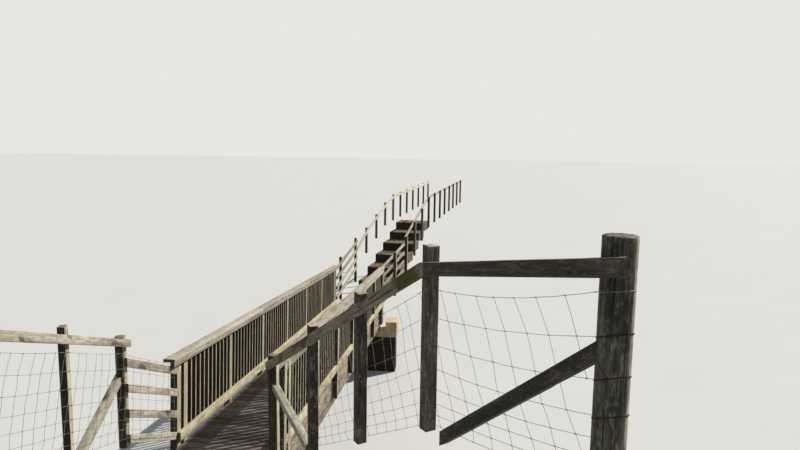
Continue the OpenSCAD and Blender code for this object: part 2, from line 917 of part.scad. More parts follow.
module left_handrail_posts() {
    color("olive") handrail_posts(-1);
}

module left_handrail() {
    color("ivory") handrail(-1);
}

module right_handrail_posts() {
    color("olive") handrail_posts(1);
}

module right_handrail() {
    color("ivory") handrail(1);
}

// Landing and steps

// Level landing from the far seat to the first riser, narrowing to the steps' width
module landing() {
    start = far_pad_y + seat_run - end_post_offset - upstand_thick;
    left = approach_point(step_shift - step_width / 2, steps_start);
    right = approach_point(step_shift + step_width / 2, steps_start);
    color("burlywood")
        translate([0, 0, landing_top - infill_drop])
            linear_extrude(infill_drop)
                polygon([[-post_inner, start], [post_inner, start], right, left]);
}

module step_risers() {
    color("burlywood")
        on_steps()
            for (i = [0 : step_count - 1])
                let (top = landing_top + (i + 1) * step_rise, y = steps_start + i * step_going)
                    block([-step_width / 2, y, top - step_rise - board_bury],
                        [step_width / 2, y + riser_thick, top]);
}

module step_side_boards() {
    color("sienna")
        on_steps()
            for (i = [0 : step_count - 1], side = [-1, 1])
                let (top = landing_top + (i + 1) * step_rise, y = steps_start + i * step_going)
                    translate([side * (step_width - side_board_thick) / 2, 0, 0])
                        block([-side_board_thick / 2, y + riser_thick, top - step_rise - board_bury],
                            [side_board_thick / 2, y + step_going, top]);
}

module step_infill() {
    half = step_width / 2 - side_board_thick;
    color("rosybrown")
        on_steps()
            for (i = [0 : step_count - 1])
                let (top = landing_top + (i + 1) * step_rise, y = steps_start + i * step_going)
                    block([-half, y + riser_thick, top - board_bury],
                        [half, y + step_going, top - infill_drop]);
}

near_abutment_wall();
near_bank_seat();
far_abutment_wall();
far_bank_seat();
bearing_pads();
left_main_beam();
right_main_beam();
cross_bearers();
deck_boards();
left_parapet_posts();
left_bottom_rails();
left_top_rails();
left_balusters();
left_cap();
right_parapet_posts();
right_bottom_rails();
right_top_rails();
right_balusters();
right_cap();
near_panel_rails();
left_strainer_post();
left_fence_posts();
left_fence_rail();
left_fence_strut();
left_netting();
newel_post();
newel_brace();
right_fence_posts();
right_strainer_post();
sloping_rail();
strainer_rail();
strainer_brace();
right_netting();
far_panel_posts();
far_left_panel_rails();
far_right_panel_rails();
left_handrail_posts();
left_handrail();
right_handrail_posts();
right_handrail();
landing();
step_risers();
step_side_boards();
step_infill();
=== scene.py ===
import json
import random
from math import atan2, copysign, cos, floor, hypot, pi, radians, sin, tan

import bpy
import numpy as np
from mathutils import Matrix, Vector
from mathutils.noise import noise


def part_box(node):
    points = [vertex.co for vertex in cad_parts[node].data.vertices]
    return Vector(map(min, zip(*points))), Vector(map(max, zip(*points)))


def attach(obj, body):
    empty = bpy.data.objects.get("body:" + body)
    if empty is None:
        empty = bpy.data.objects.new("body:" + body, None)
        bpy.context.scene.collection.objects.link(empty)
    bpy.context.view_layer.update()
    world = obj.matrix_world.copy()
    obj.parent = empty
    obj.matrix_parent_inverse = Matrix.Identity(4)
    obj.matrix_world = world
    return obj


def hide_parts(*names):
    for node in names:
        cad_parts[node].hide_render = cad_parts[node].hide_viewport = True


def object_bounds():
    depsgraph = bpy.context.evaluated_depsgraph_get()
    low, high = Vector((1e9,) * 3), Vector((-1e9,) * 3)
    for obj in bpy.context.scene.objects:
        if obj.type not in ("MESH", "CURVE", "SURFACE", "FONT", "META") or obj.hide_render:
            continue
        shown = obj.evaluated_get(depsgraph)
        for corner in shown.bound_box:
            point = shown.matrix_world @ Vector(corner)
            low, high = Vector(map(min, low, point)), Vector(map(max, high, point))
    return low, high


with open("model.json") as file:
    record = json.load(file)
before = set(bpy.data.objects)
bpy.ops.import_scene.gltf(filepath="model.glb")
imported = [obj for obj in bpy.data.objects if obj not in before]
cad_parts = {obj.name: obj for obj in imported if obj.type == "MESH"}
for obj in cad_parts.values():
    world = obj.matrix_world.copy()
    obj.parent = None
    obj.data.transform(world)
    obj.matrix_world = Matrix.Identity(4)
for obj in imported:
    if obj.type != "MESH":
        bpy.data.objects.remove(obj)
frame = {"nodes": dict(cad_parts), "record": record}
cad_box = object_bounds()
NODES = frame["nodes"]
SLOTS = {row["node"]: row["material_slot"] for row in frame["record"]["subparts"]}
random.seed(41)

# Values, in metres

# The deck and the parapets
DECK_TOP = 1.697034
FIRST_POST_Y = 0.18
DECK_SLOPE = radians(4.2)
BAY = 1.5
BAYS = 6
RAIL_THICK = 0.045
POST_INNER = 0.62
POST_OUTER = 0.71
RAIL_INNER = 0.575
CAP_LOW = 1.09
END_POST_OFFSET = 0.18

# The left fence
LEFT_TURN = radians(9.7)
LEFT_SLOPE = radians(19.35)
LEFT_BAY = 1.23
LEFT_BAYS = 3
LEFT_STRAINER = (-0.721, -0.998378)
LEFT_STRAINER_RADIUS = 0.056
LEFT_FOOT = 2.204994
LEFT_NET_START = 0.0725
LEFT_NET_FACE = 0.0916

# The right fence
NEWEL = (0.665, -0.268854)
RIGHT_TURN = radians(36.8)
RIGHT_POSTS = (1.14, 2.14, 3.14)
STRAINER_X = 4.605
STRAINER_RADIUS = 0.0825
WING_FACE = 0.0425
WING_RAIL_START = 2.900034
WING_SLOPE = radians(28.0)
STRAINER_SLOPE = radians(10.35)
FENCE_RAIL_HEIGHT = 1.12

# The near panel and the balusters
PANEL_SLOPE = radians(24.5)
PANEL_RUN = 1.005
PANEL_START = -0.049378
BALUSTERS = 10
BALUSTER_START = 0.0275
BALUSTER_PITCH = 0.131364
BOTTOM_RAIL = (0.075, 0.185)

# The netting's line wires, their heights and the wraps
WIRE = 0.0014
WIRE_HEIGHTS = (0.11, 0.215, 0.32, 0.43, 0.555, 0.70, 0.853, 1.015)
WIRES = len(WIRE_HEIGHTS)
RIGHT_HEIGHTS = (0.04, 0.12, 0.21, 0.32, 0.46, 0.63, 0.82, 1.015)
POST_HEIGHTS = (0.03, 0.10, 0.18, 0.28, 0.425, 0.59, 0.775, 0.972)
STRAINER_HEIGHTS = (0.02, 0.09, 0.17, 0.27, 0.383, 0.566, 0.778, 1.000)
STAY_SPACING = 0.15
STRAINER_STAYS = 0.183
WRAP_HEIGHTS = (4.719, 4.509, 4.303, 4.118)
WRAP_TILTS = (0.017, 0.029, 0.035, 0.034)
WRAP_HIGH_SIDE = -1.2
WRAP_START = 2.17
WRAP_STEPS = 36

# The loose tail on the right strainer: its first angle, its swing, its height and its fall
TAIL_START = -2.80
TAIL_SWING = 0.69
TAIL_HEIGHT = 4.428
TAIL_FALL = 0.098
TAIL_STEPS = 14

# Where the right strainer is scoured, and how far the sloping rail darkens from the newel end
SCOURED_SIDE = -2.6
SCOURED_TOP = 4.66
DARKENING_REACH = 1.3

# A full turn, no shift at all, and the hair by which a cut misses a piece's corners
FULL_TURN = 2 * pi
STILL = (0, 0, 0)
HAIR = 0.00037

# Nails and bolts
BOLT_HEIGHTS = (-0.13, -0.31)
CAP_NAILS = (0.595, 0.69)
CAP_NAIL_SPACING = 0.5
DECK_NAIL_X = 0.57
DECK_NAIL_RISE = 0.0222

# Wear of the timber, and gravel
WAVE_DEPTH = 0.0012
RIDGE_DEPTH = 0.0006
CHECK_DEPTH = 0.0035
CRACKS = 26
CRACK_WIDTH = 0.05
GRAVEL_GRID = 0.06
STONES_PER_SQUARE = 320

# Light and camera
SUN_BEARING = radians(52)
SUN_HEIGHT = radians(36.5)
CAMERA_PLACE = (2.728, -6.737, 5.347)
CAMERA_TURNS = ((5.65, "Z"), (90 - 7.08, "X"), (0.81, "Z"))


def srgb(red, green, blue):
    """A colour given in screen values, as Blender's linear colour."""
    def linear(value):
        value /= 255
        return value / 12.92 if value <= 0.04045 else ((value + 0.055) / 1.055) ** 2.4
    return (linear(red), linear(green), linear(blue), 1.0)


# Shader building

class Value:
    """One output of a node, which can be reckoned with like a number."""

    def __init__(self, graph, socket):
        self.graph = graph
        self.socket = socket

    def __add__(self, other):
        return self.graph.math("ADD", self, other)

    def __sub__(self, other):
        return self.graph.math("SUBTRACT", self, other)

    def __rsub__(self, other):
        return self.graph.math("SUBTRACT", other, self)

    def __mul__(self, other):
        return self.graph.math("MULTIPLY", self, other)

    def __truediv__(self, other):
        return self.graph.math("DIVIDE", self, other)

    def __abs__(self):
        return self.graph.math("ABSOLUTE", self)


class Graph:
    """Short calls for building one node tree."""

    def __init__(self, tree):
        self.tree = tree
        self.nodes = tree.nodes

    def add(self, kind, **settings):
        node = self.nodes.new(kind)
        for key, value in settings.items():
            setattr(node, key, value)
        node.location = (len(self.nodes) * 40, 0)
        return node

    def put(self, socket, value):
        """Links a value to an input, or sets the input to a number or a colour."""
        if isinstance(value, Value):
            self.tree.links.new(value.socket, socket)
        elif value is not None:
            socket.default_value = value

    def fill(self, node, *values):
        """Fills a node's inputs in their order."""
        for socket, value in zip(node.inputs, values):
            self.put(socket, value)

    def fill_named(self, node, **values):
        """Fills a node's inputs by name, with a low line for each space."""
        for label, value in values.items():
            self.put(node.inputs[label.replace("_", " ")], value)

    def get(self, node, out=0):
        return Value(self, node.outputs[out])

    def math(self, operation, a, b=None, clamp=False):
        node = self.add("ShaderNodeMath", operation=operation, use_clamp=clamp)
        self.fill(node, a, b)
        return self.get(node)

    def vector(self, operation, a, b=None):
        node = self.add("ShaderNodeVectorMath", operation=operation)
        self.fill(node, a, b)
        return self.get(node, "Value" if operation in ("DOT_PRODUCT", "LENGTH") else "Vector")

    def parts(self, vector):
        """The x, y and z of a vector."""
        node = self.add("ShaderNodeSeparateXYZ")
        self.fill(node, vector)
        return [self.get(node, axis) for axis in range(3)]

    def ramp(self, value, low, high, to_low=0.0, to_high=1.0):
        node = self.add("ShaderNodeMapRange", interpolation_type="SMOOTHSTEP")
        self.fill(node, value, low, high, to_low, to_high)
        return self.get(node)

    def mix(self, share, a, b, blend="MIX"):
        node = self.add("ShaderNodeMix", data_type="RGBA", blend_type=blend)
        self.put(node.inputs[0], share)
        self.put(node.inputs[6], a)
        self.put(node.inputs[7], b)
        return self.get(node, 2)

    def stretch(self, point, scale):
        return self.vector("MULTIPLY", point, scale)

    def noise(self, point, scale, detail=3.0, rough=0.55, distortion=0.0):
        node = self.add("ShaderNodeTexNoise")
        self.fill_named(node, Vector=point, Scale=scale, Detail=detail, Roughness=rough,
            Distortion=distortion)
        return self.get(node, "Fac")

    def fibres(self, point, along, across, detail, rough=0.55, distortion=0.0):
        """Noise drawn out along the grain, by its scale that way and across it."""
        drawn = self.stretch(point, (along, across, across))
        return self.noise(drawn, 1.0, detail, rough, distortion)

    def cells(self, point, scale, out="Distance"):
        node = self.add("ShaderNodeTexVoronoi")
        self.fill_named(node, Vector=point, Scale=scale)
        return self.get(node, out)

    def attribute(self, name, out="Fac"):
        return self.get(self.add("ShaderNodeAttribute", attribute_name=name), out)

    def place(self):
        return self.get(self.add("ShaderNodeTexCoord"), "Object")


def setting(value):
    """A number as it is, or a colour from its screen values."""
    return value if isinstance(value, float) else srgb(*value)


def new_finish(name, **inputs):
    """A shader node group that gives a colour, a roughness and a height."""
    tree = bpy.data.node_groups.new(name, "ShaderNodeTree")
    for label, value in inputs.items():
        kind = "NodeSocketFloat" if isinstance(value, float) else "NodeSocketColor"
        socket = tree.interface.new_socket(
            name=label.replace("_", " "), in_out="INPUT", socket_type=kind)
        socket.default_value = setting(value)
    for label, kind in (("Color", "Color"), ("Roughness", "Float"), ("Height", "Float")):
        tree.interface.new_socket(name=label, in_out="OUTPUT", socket_type="NodeSocket" + kind)
    graph = Graph(tree)
    entry = graph.add("NodeGroupInput")
    leave = graph.add("NodeGroupOutput")
    given = {socket.name: Value(graph, socket) for socket in entry.outputs}
    return graph, given, leave


def build_timber_group():
    """Weathered softwood, cut through its growth rings wherever a face lies."""
    graph, given, leave = new_finish("weathered_timber",
        Pale_wood=(178, 170, 148), Dark_wood=(104, 96, 78), Stain=(66, 58, 45),
        Lichen=(172, 174, 120), Algae=(84, 96, 40), Bleached_wood=(182, 174, 152),
        Staining=0.4, Lichen_cover=0.3, Algae_cover=0.2, Top_bleaching=0.0, Side_bleaching=0.0,
        Sunny_side_start=0.62, Mottling=0.4, Patchiness=0.35, End_staining=0.7,
        Edge_staining=0.0, Ring_spacing=0.006)
    point = graph.attribute("grain_point", "Vector")
    tone = graph.attribute("piece_tone")
    crack_depth = graph.attribute("check_depth")
    place = graph.place()
    normal = graph.get(graph.add("ShaderNodeNewGeometry"), "Normal")
    facing = abs(graph.vector("DOT_PRODUCT", normal, graph.attribute("grain_axis", "Vector")))
    end = graph.ramp(facing, 0.72, 0.86)
    sideways, _, up = graph.parts(normal)
    # Masks for painted light: faces that look up, and faces that look towards +x, where the sun stands
    top_face = graph.ramp(up, 0.55, 0.9)
    sunny_side = graph.ramp(sideways, given["Sunny side start"], given["Sunny side start"] + 0.28)

    # The rings wander along the stick, and a knot bends them round it
    wander = graph.noise(graph.stretch(point, (1.0, 7.0, 7.0)), 1.6, 2.0) - 0.5
    knot_cells = graph.cells(graph.stretch(point, (2.1, 9.0, 9.0)), 1.0)
    knot_near = graph.ramp(knot_cells, 0.34, 0.06)
    knot = graph.ramp(knot_cells, 0.13, 0.07)
    radius = graph.vector("LENGTH", graph.stretch(point, (0.0, 1.0, 1.0)))
    radius = radius + wander * 0.03 + knot_near * 0.012
    ring = graph.math("FRACT", radius / given["Ring spacing"])
    late_wood = graph.ramp(ring, 0.45, 0.95) * graph.ramp(ring, 1.0, 0.96)

    # Fibres, streaks and fine checks all run along the stick
    fibre = graph.fibres(point, 5.0, 260.0, 3.0, 0.7)
    streak = graph.fibres(point, 1.3, 26.0, 4.0, 0.6)
    broad = graph.fibres(point, 0.9, 9.0, 2.0, 0.5)
    split = abs(graph.fibres(point, 1.1, 55.0, 2.0, 0.5) - 0.5)
    split = graph.ramp(split, 0.016, 0.0)
    split = split * graph.ramp(graph.fibres(point, 1.7, 12.0, 1.0), 0.52, 0.62)
    check = graph.math("MAXIMUM", split, graph.ramp(crack_depth, 0.08, 0.55), clamp=True)

    # Colour: silver over brown, by the streaks and by each stick's own tone
    line = graph.fibres(point, 5.0, 85.0, 2.0, 0.5)
    body = streak * 1.7 + line * 1.5 + fibre * 0.9 + tone * 0.8 - 1.95
    share = graph.ramp(body, 0.0, 1.0)
    colour = graph.mix(share, given["Dark wood"], given["Pale wood"])
    ring_share = late_wood * (end * 0.35 + 0.2)
    colour = graph.mix(ring_share, colour, given["Dark wood"])
    stain = graph.ramp(broad, 0.46, 0.72) * given["Staining"]
    colour = graph.mix(stain, colour, given["Stain"])
    # Painted light: tops and faces towards +x are painted pale as if sunlit, on top of real sun
    # bleaching of the wood
    bleach_and_painted_light = graph.math("MAXIMUM",
        top_face * given["Top bleaching"], sunny_side * given["Side bleaching"])
    bleach_and_painted_light = bleach_and_painted_light * graph.ramp(streak, 0.25, 0.6, 0.6, 1.0)
    # Painted shade: the painted light is held back near a face's long edges, so a lit face reads
    # narrower, as if its edges lay in shade
    over, through, _ = graph.parts(graph.attribute("face_place", "Vector"))
    from_middle = graph.math("MINIMUM", abs(over), abs(through))
    painted_edge_shade = graph.ramp(from_middle, 0.3, 0.48, 0.0, given["Edge staining"])
    bleach_and_painted_light = bleach_and_painted_light * (1.0 - painted_edge_shade)
    colour = graph.mix(bleach_and_painted_light, colour, given["Bleached wood"])

    # Rain leaves the face mottled: pale scoured spots among dirty ones
    speckle = graph.fibres(point, 26.0, 60.0, 5.0, 0.7)
    cloud = graph.fibres(point, 7.0, 16.0, 3.0, 0.6)
    mottle = speckle * 0.6 + cloud * 0.4
    pale_spots = graph.ramp(mottle, 0.51, 0.6) * given["Mottling"]
    dirty_spots = graph.ramp(mottle, 0.49, 0.4) * given["Mottling"]
    colour = graph.mix(pale_spots * 0.4, colour, given["Bleached wood"])
    colour = graph.mix(dirty_spots * 0.6, colour, given["Stain"])
    # End grain is darker wood, and its amount is raised as painted shade, for ends that face away from
    # the sun
    colour = graph.mix(end * given["End staining"], colour, given["Stain"])
    colour = graph.mix(knot * 0.65, colour, given["Stain"])

    patch = graph.fibres(point, 3.5, 17.0, 5.0, 0.68, 0.4)
    patch = graph.ramp(patch, 0.36, 0.64, 0.45, 1.5)
    colour = graph.mix(given["Patchiness"], colour, patch, "MULTIPLY")

    # Lichen sits in blotches on the tops, algae lies as a film on the rest
    blotch = graph.noise(place, 26.0, 5.0, 0.65)
    patches = graph.noise(place, 3.1, 2.0, 0.5)
    open_to_sky = top_face * 0.16 + patches * 0.35 - 0.17
    lichen_edge = 0.78 - given["Lichen cover"] * 0.42
    lichen = graph.ramp(blotch + open_to_sky, lichen_edge, lichen_edge + 0.07)
    colour = graph.mix(lichen * 0.7, colour, given["Lichen"])
    film = graph.noise(place, 7.0, 4.0, 0.6)
    algae_edge = 0.8 - given["Algae cover"] * 0.45
    algae = graph.ramp(patches * 0.3 + film - 0.15, algae_edge, algae_edge + 0.16)
    algae = algae * (1.0 - bleach_and_painted_light * 0.8)
    soaked = graph.ramp(graph.attribute("film_cover") + film * 0.7, 0.75, 1.0)
    algae = graph.math("MAXIMUM", algae, soaked)
    colour = graph.mix(algae * 0.93, colour, given["Algae"])
    # Painted shade: the drying checks are painted near black, as the shade inside a crack
    colour = graph.mix(check * 0.8, colour, srgb(30, 26, 20))
    rough = graph.math("ADD", lichen * 0.08, fibre * 0.16 + 0.72, clamp=True)

    # Soft early wood weathers back from the harder rings
    height = late_wood * 0.35 + fibre * 0.55 + streak * 0.5 - check * 1.6 + lichen * 0.45
    graph.fill_named(leave, Color=colour, Roughness=rough, Height=height)
    return graph.tree


def build_concrete_group():
    graph, given, leave = new_finish("cast_concrete", Light=(186, 170, 144),
        Dark=(128, 112, 90), Stain=(74, 66, 54), Staining=0.4)
    place = graph.place()
    cloud = graph.noise(place, 3.2, 5.0, 0.6)
    grit = graph.noise(place, 95.0, 4.0, 0.7)
    run = graph.noise(graph.stretch(place, (7.0, 7.0, 0.8)), 1.0, 4.0, 0.6)
    pore = graph.ramp(graph.cells(place, 46.0), 0.16, 0.07)
    pore = pore * graph.ramp(graph.noise(place, 11.0, 2.0), 0.48, 0.6)
    stone = graph.ramp(graph.cells(place, 78.0), 0.3, 0.2)
    colour = graph.mix(graph.ramp(cloud, 0.32, 0.68), given["Dark"], given["Light"])
    colour = graph.mix(stone * 0.22, colour, given["Dark"])
    stain = graph.ramp(run, 0.46, 0.72) * given["Staining"]
    colour = graph.mix(stain, colour, given["Stain"])
    # Painted shade: the pores are painted dark, as the shade inside the holes
    colour = graph.mix(pore * 0.8, colour, given["Stain"])
    rough = graph.math("ADD", grit * 0.2, 0.74, clamp=True)
    height = grit * 0.5 + stone * 0.3 - pore * 1.5
    graph.fill_named(leave, Color=colour, Roughness=rough, Height=height)
    return graph.tree


def build_zinc_group():
    graph, given, leave = new_finish("zinc_and_rust", Zinc=(158, 160, 160),
        Dull_zinc=(112, 114, 114), Rust=(104, 58, 30), Rusting=0.3)
    place = graph.place()
    tone = graph.attribute("piece_tone")
    spangle = graph.cells(place, 420.0)
    dull = graph.noise(place, 60.0, 4.0, 0.6)
    bloom = graph.noise(place, 150.0, 5.0, 0.7)
    wide = graph.noise(place, 6.0, 2.0)
    colour = graph.mix(graph.ramp(dull, 0.35, 0.65), given["Dull zinc"], given["Zinc"])
    colour = graph.mix(spangle * 0.3, colour, given["Dull zinc"])
    level = bloom * 0.5 + wide * 0.3 + tone * 0.25
    edge = 0.82 - given["Rusting"] * 0.55
    rust = graph.ramp(level, edge, edge + 0.12)
    colour = graph.mix(rust, colour, given["Rust"])
    rough = graph.math("ADD", rust * 0.32, dull * 0.25 + 0.38, clamp=True)
    graph.fill_named(leave, Color=colour, Roughness=rough, Height=rust * 0.6 + bloom * 0.4)
    return graph.tree


def build_stone_group():
    graph, given, leave = new_finish("tread_gravel", Stone=(168, 154, 134),
        Dark_stone=(104, 94, 82), Earth=(112, 92, 70), Earth_share=0.5)
    place = graph.place()
    tone = graph.attribute("piece_tone")
    fine = graph.noise(place, 240.0, 4.0, 0.7)
    broad = graph.noise(place, 9.0, 4.0, 0.6)
    chips = graph.cells(place, 120.0, "Color")
    share = tone + fine * 0.5 - 0.25
    colour = graph.mix(graph.ramp(share, 0.15, 0.85), given["Dark stone"], given["Stone"])
    colour = graph.mix(0.22, colour, chips, "SOFT_LIGHT")
    earth = graph.ramp(broad, 0.35, 0.62) * given["Earth share"]
    colour = graph.mix(earth, colour, given["Earth"])
    rough = graph.math("ADD", fine * 0.15, 0.78, clamp=True)
    height = graph.cells(place, 120.0) * 0.8 + fine * 0.5
    graph.fill_named(leave, Color=colour, Roughness=rough, Height=height)
    return graph.tree


TIMBER = build_timber_group()
CONCRETE = build_concrete_group()
ZINC = build_zinc_group()
GRAVEL = build_stone_group()


def make_material(name, group, bump=0.5, depth=0.0012, metallic=0.0, **values):
    """A material of one principled shader, fed by a finish group."""
    material = bpy.data.materials.new(name)
    material.use_nodes = True
    graph = Graph(material.node_tree)
    finish = graph.add("ShaderNodeGroup")
    finish.node_tree = group
    graph.fill_named(finish, **{label: setting(value) for label, value in values.items()})
    relief = graph.add("ShaderNodeBump")
    graph.fill_named(relief, Strength=bump, Distance=depth, Height=graph.get(finish, "Height"))
    graph.fill_named(graph.nodes["Principled BSDF"], Metallic=metallic, Specular_IOR_Level=0.3,
        Base_Color=graph.get(finish, "Color"), Roughness=graph.get(finish, "Roughness"),
        Normal=graph.get(relief, "Normal"))
    return material


def timber(name, **values):
    return make_material(name, TIMBER, **values)


PALE = timber("pale_rail_timber", Pale_wood=(208, 199, 184), Dark_wood=(158, 147, 130),
    Stain=(82, 70, 56), Lichen=(188, 182, 148), Bleached_wood=(206, 197, 181), Staining=0.3,
    Lichen_cover=0.26, Algae_cover=0.08, Top_bleaching=0.3, Mottling=0.55, End_staining=0.95,
    Patchiness=0.3)
LOW_RAIL = timber("bottom_rail_timber", Pale_wood=(226, 216, 188), Dark_wood=(176, 164, 132),
    Stain=(88, 76, 54), Lichen=(204, 198, 146), Algae=(120, 124, 62), Bleached_wood=(224, 214, 186),
    Staining=0.3, Lichen_cover=0.4, Top_bleaching=0.3, Mottling=0.55, End_staining=0.95)
HANDRAIL = timber("handrail_timber", Pale_wood=(236, 226, 208), Dark_wood=(196, 184, 162),
    Stain=(100, 88, 70), Lichen=(206, 200, 166), Bleached_wood=(238, 229, 212), Staining=0.2,
    Lichen_cover=0.2, Algae_cover=0.05, Top_bleaching=0.5, End_staining=0.95, Patchiness=0.25)
BLEACHED = timber("bleached_fence_timber", Pale_wood=(216, 208, 192), Dark_wood=(164, 153, 134),
    Stain=(80, 69, 53), Lichen=(182, 177, 140), Bleached_wood=(214, 206, 190), Staining=0.3,
    Algae_cover=0.04, Top_bleaching=0.3, Mottling=0.65, End_staining=0.95)
# Painted shade and light: the posts' wood is set very dark, as their shaded faces, and their sides
# towards the sun are painted pale
GREY = timber("parapet_post_timber", Pale_wood=(92, 82, 67), Dark_wood=(48, 41, 33),
    Stain=(30, 25, 20), Lichen=(130, 126, 88), Bleached_wood=(198, 187, 162), Staining=0.45,
    Lichen_cover=0.2, Algae_cover=0.12, Top_bleaching=0.6, Side_bleaching=0.9, End_staining=0.8)
# Painted shade and light: near-black wood stands in for the shade between the closely set balusters,
# and their faces towards the sun are painted pale
BALUSTER = timber("baluster_timber", Pale_wood=(54, 46, 38), Dark_wood=(27, 22, 18),
    Stain=(18, 15, 12), Lichen=(96, 90, 66), Bleached_wood=(208, 195, 168), Lichen_cover=0.1,
    Algae_cover=0.06, Top_bleaching=0.6, Side_bleaching=1.0, Mottling=0.3, End_staining=0.8,
    Edge_staining=1.0)
# Painted shade and light: dark wood stands in for the deep shade on faces away from the sun, and the
# sides towards the sun are painted pale
DARK_POST = timber("dark_post_timber", Pale_wood=(84, 77, 62), Dark_wood=(42, 37, 29),
    Stain=(25, 22, 17), Lichen=(110, 110, 78), Algae=(62, 67, 33), Bleached_wood=(206, 194, 168),
    Staining=0.5, Lichen_cover=0.2, Algae_cover=0.24, Top_bleaching=0.75, Side_bleaching=1.0,
    End_staining=0.4)
STRAINER = timber("strainer_post_timber", Pale_wood=(134, 129, 115), Dark_wood=(60, 58, 50),
    Stain=(26, 24, 20), Lichen=(122, 120, 92), Algae=(70, 74, 46), Bleached_wood=(222, 214, 196),
    Staining=0.35, Lichen_cover=0.2, Algae_cover=0.1, Top_bleaching=0.3, Side_bleaching=0.9,
    Sunny_side_start=0.56, Mottling=0.75, End_staining=0.35, Patchiness=0.8)
FENCE_POST = timber("fence_post_timber", Pale_wood=(142, 128, 114), Dark_wood=(50, 43, 36),
    Stain=(32, 27, 22), Lichen=(128, 122, 94), Algae=(74, 78, 42), Bleached_wood=(244, 235, 217),
    Staining=0.55, Lichen_cover=0.18, Algae_cover=0.12, Top_bleaching=1.0, Side_bleaching=0.75,
    Mottling=0.65, End_staining=0.3, Patchiness=0.7)
SLOPE_RAIL = timber("sloping_rail_timber", Pale_wood=(188, 175, 156), Dark_wood=(122, 108, 92),
    Stain=(58, 49, 39), Lichen=(156, 152, 112), Algae=(78, 80, 8), Bleached_wood=(214, 204, 186),
    Staining=0.45, Lichen_cover=0.16, Algae_cover=0.12, Top_bleaching=0.85, Mottling=0.5,
    End_staining=0.5)
STRAINER_RAIL = timber("strainer_rail_timber", Pale_wood=(120, 114, 102), Dark_wood=(58, 54, 46),
    Stain=(30, 27, 22), Lichen=(118, 116, 88), Algae=(70, 75, 42), Bleached_wood=(196, 186, 166),
    Staining=0.5, Lichen_cover=0.16, Algae_cover=0.16, Top_bleaching=0.85, Mottling=0.55,
    End_staining=0.4, Patchiness=0.6)
# Partly painted shade: the deck's wood is set darker than its own colour, towards the shade that lies
# over most of the deck
DECKING = timber("deck_timber_with_painted_shade", Pale_wood=(140, 125, 117), Dark_wood=(56, 47, 42),
    Stain=(36, 31, 28), Lichen=(124, 116, 96), Staining=0.5, Lichen_cover=0.1, Algae_cover=0.03)
BEAM = timber("beam_timber", Pale_wood=(182, 165, 147), Dark_wood=(100, 87, 74), Stain=(46, 38, 31),
    Bleached_wood=(196, 180, 162), Staining=0.8, Lichen_cover=0.1, Algae_cover=0.1,
    Side_bleaching=0.35, Mottling=1.0, Ring_spacing=0.009, Patchiness=0.7)
# Painted shade: the risers are set near black, as the shade they stand in, with their tops and sunlit
# sides painted paler
SLEEPER = timber("riser_timber", Pale_wood=(62, 53, 47), Dark_wood=(32, 27, 24), Stain=(19, 16, 14),
    Bleached_wood=(150, 133, 114), Staining=0.6, Lichen_cover=0.08, Algae_cover=0.1,
    Top_bleaching=0.8, Side_bleaching=0.5, Mottling=0.5, Ring_spacing=0.009)
# Partly painted light: the seat's tan is its own colour, lifted towards white so that it reads as
# sunlit
SEAT = make_material("seat_concrete", CONCRETE, 0.6, 0.003, Light=(245, 222, 190),
    Dark=(220, 190, 154), Stain=(122, 102, 80), Staining=0.25)
# Painted shade: the wall under the seat is set very dark, as the shade of the bridge over it
WALL = make_material("wall_concrete", CONCRETE, 0.7, 0.004, Light=(56, 48, 41), Dark=(35, 30, 25),
    Stain=(22, 19, 15), Staining=0.7)
RUBBER = make_material("bearing_rubber", CONCRETE, 0.3, 0.001, Light=(52, 50, 48),
    Dark=(34, 33, 32), Stain=(22, 21, 20), Staining=0.3)
TREAD = make_material("tread_gravel", GRAVEL, 0.8, 0.004)
WIRE_FINISH = make_material("netting_wire", ZINC, 0.2, 0.0004, 0.45, Zinc=(176, 176, 170),
    Rusting=0.22)
OLD_WIRE = make_material("old_wrap_wire", ZINC, 0.3, 0.0004, 0.2, Zinc=(64, 60, 54),
    Dull_zinc=(44, 41, 37), Rust=(52, 38, 29), Rusting=0.7)
FIXING = make_material("coach_bolt_zinc", ZINC, 0.3, 0.0006, 0.5, Rusting=0.4)
NAIL = make_material("nail_steel", ZINC, 0.3, 0.0004, 0.3, Zinc=(104, 96, 88),
    Dull_zinc=(72, 64, 58), Rust=(66, 50, 38), Rusting=0.7)


# Mesh helpers

def show(name, data):
    """A new object in the scene."""
    thing = bpy.data.objects.new(name, data)
    bpy.context.scene.collection.objects.link(thing)
    return thing


def select_only(piece):
    bpy.ops.object.select_all(action="DESELECT")
    piece.select_set(True)
    bpy.context.view_layer.objects.active = piece


def edit(piece, mode="EDGE"):
    select_only(piece)
    bpy.ops.object.mode_set(mode="EDIT")
    bpy.ops.mesh.select_mode(type=mode)


def object_mode():
    bpy.ops.object.mode_set(mode="OBJECT")


def new_shape(add, **measures):
    """A fresh plain shape, with its place baked into its mesh."""
    bpy.ops.object.select_all(action="DESELECT")
    add(**measures)
    piece = bpy.context.object
    select_only(piece)
    bpy.ops.object.transform_apply(location=True, rotation=True, scale=True)
    return piece


def points_of(mesh):
    points = np.empty(len(mesh.vertices) * 3)
    mesh.vertices.foreach_get("co", points)
    return points.reshape(-1, 3)


def normals_of(mesh):
    normals = np.empty(len(mesh.vertices) * 3)
    mesh.vertices.foreach_get("normal", normals)
    return normals.reshape(-1, 3)


def edges_of(mesh):
    ends = np.empty(len(mesh.edges) * 2, int)
    mesh.edges.foreach_get("vertices", ends)
    return ends.reshape(-1, 2)


def put_points(mesh, points):
    mesh.vertices.foreach_set("co", points.astype(np.float32).ravel())
    mesh.update()


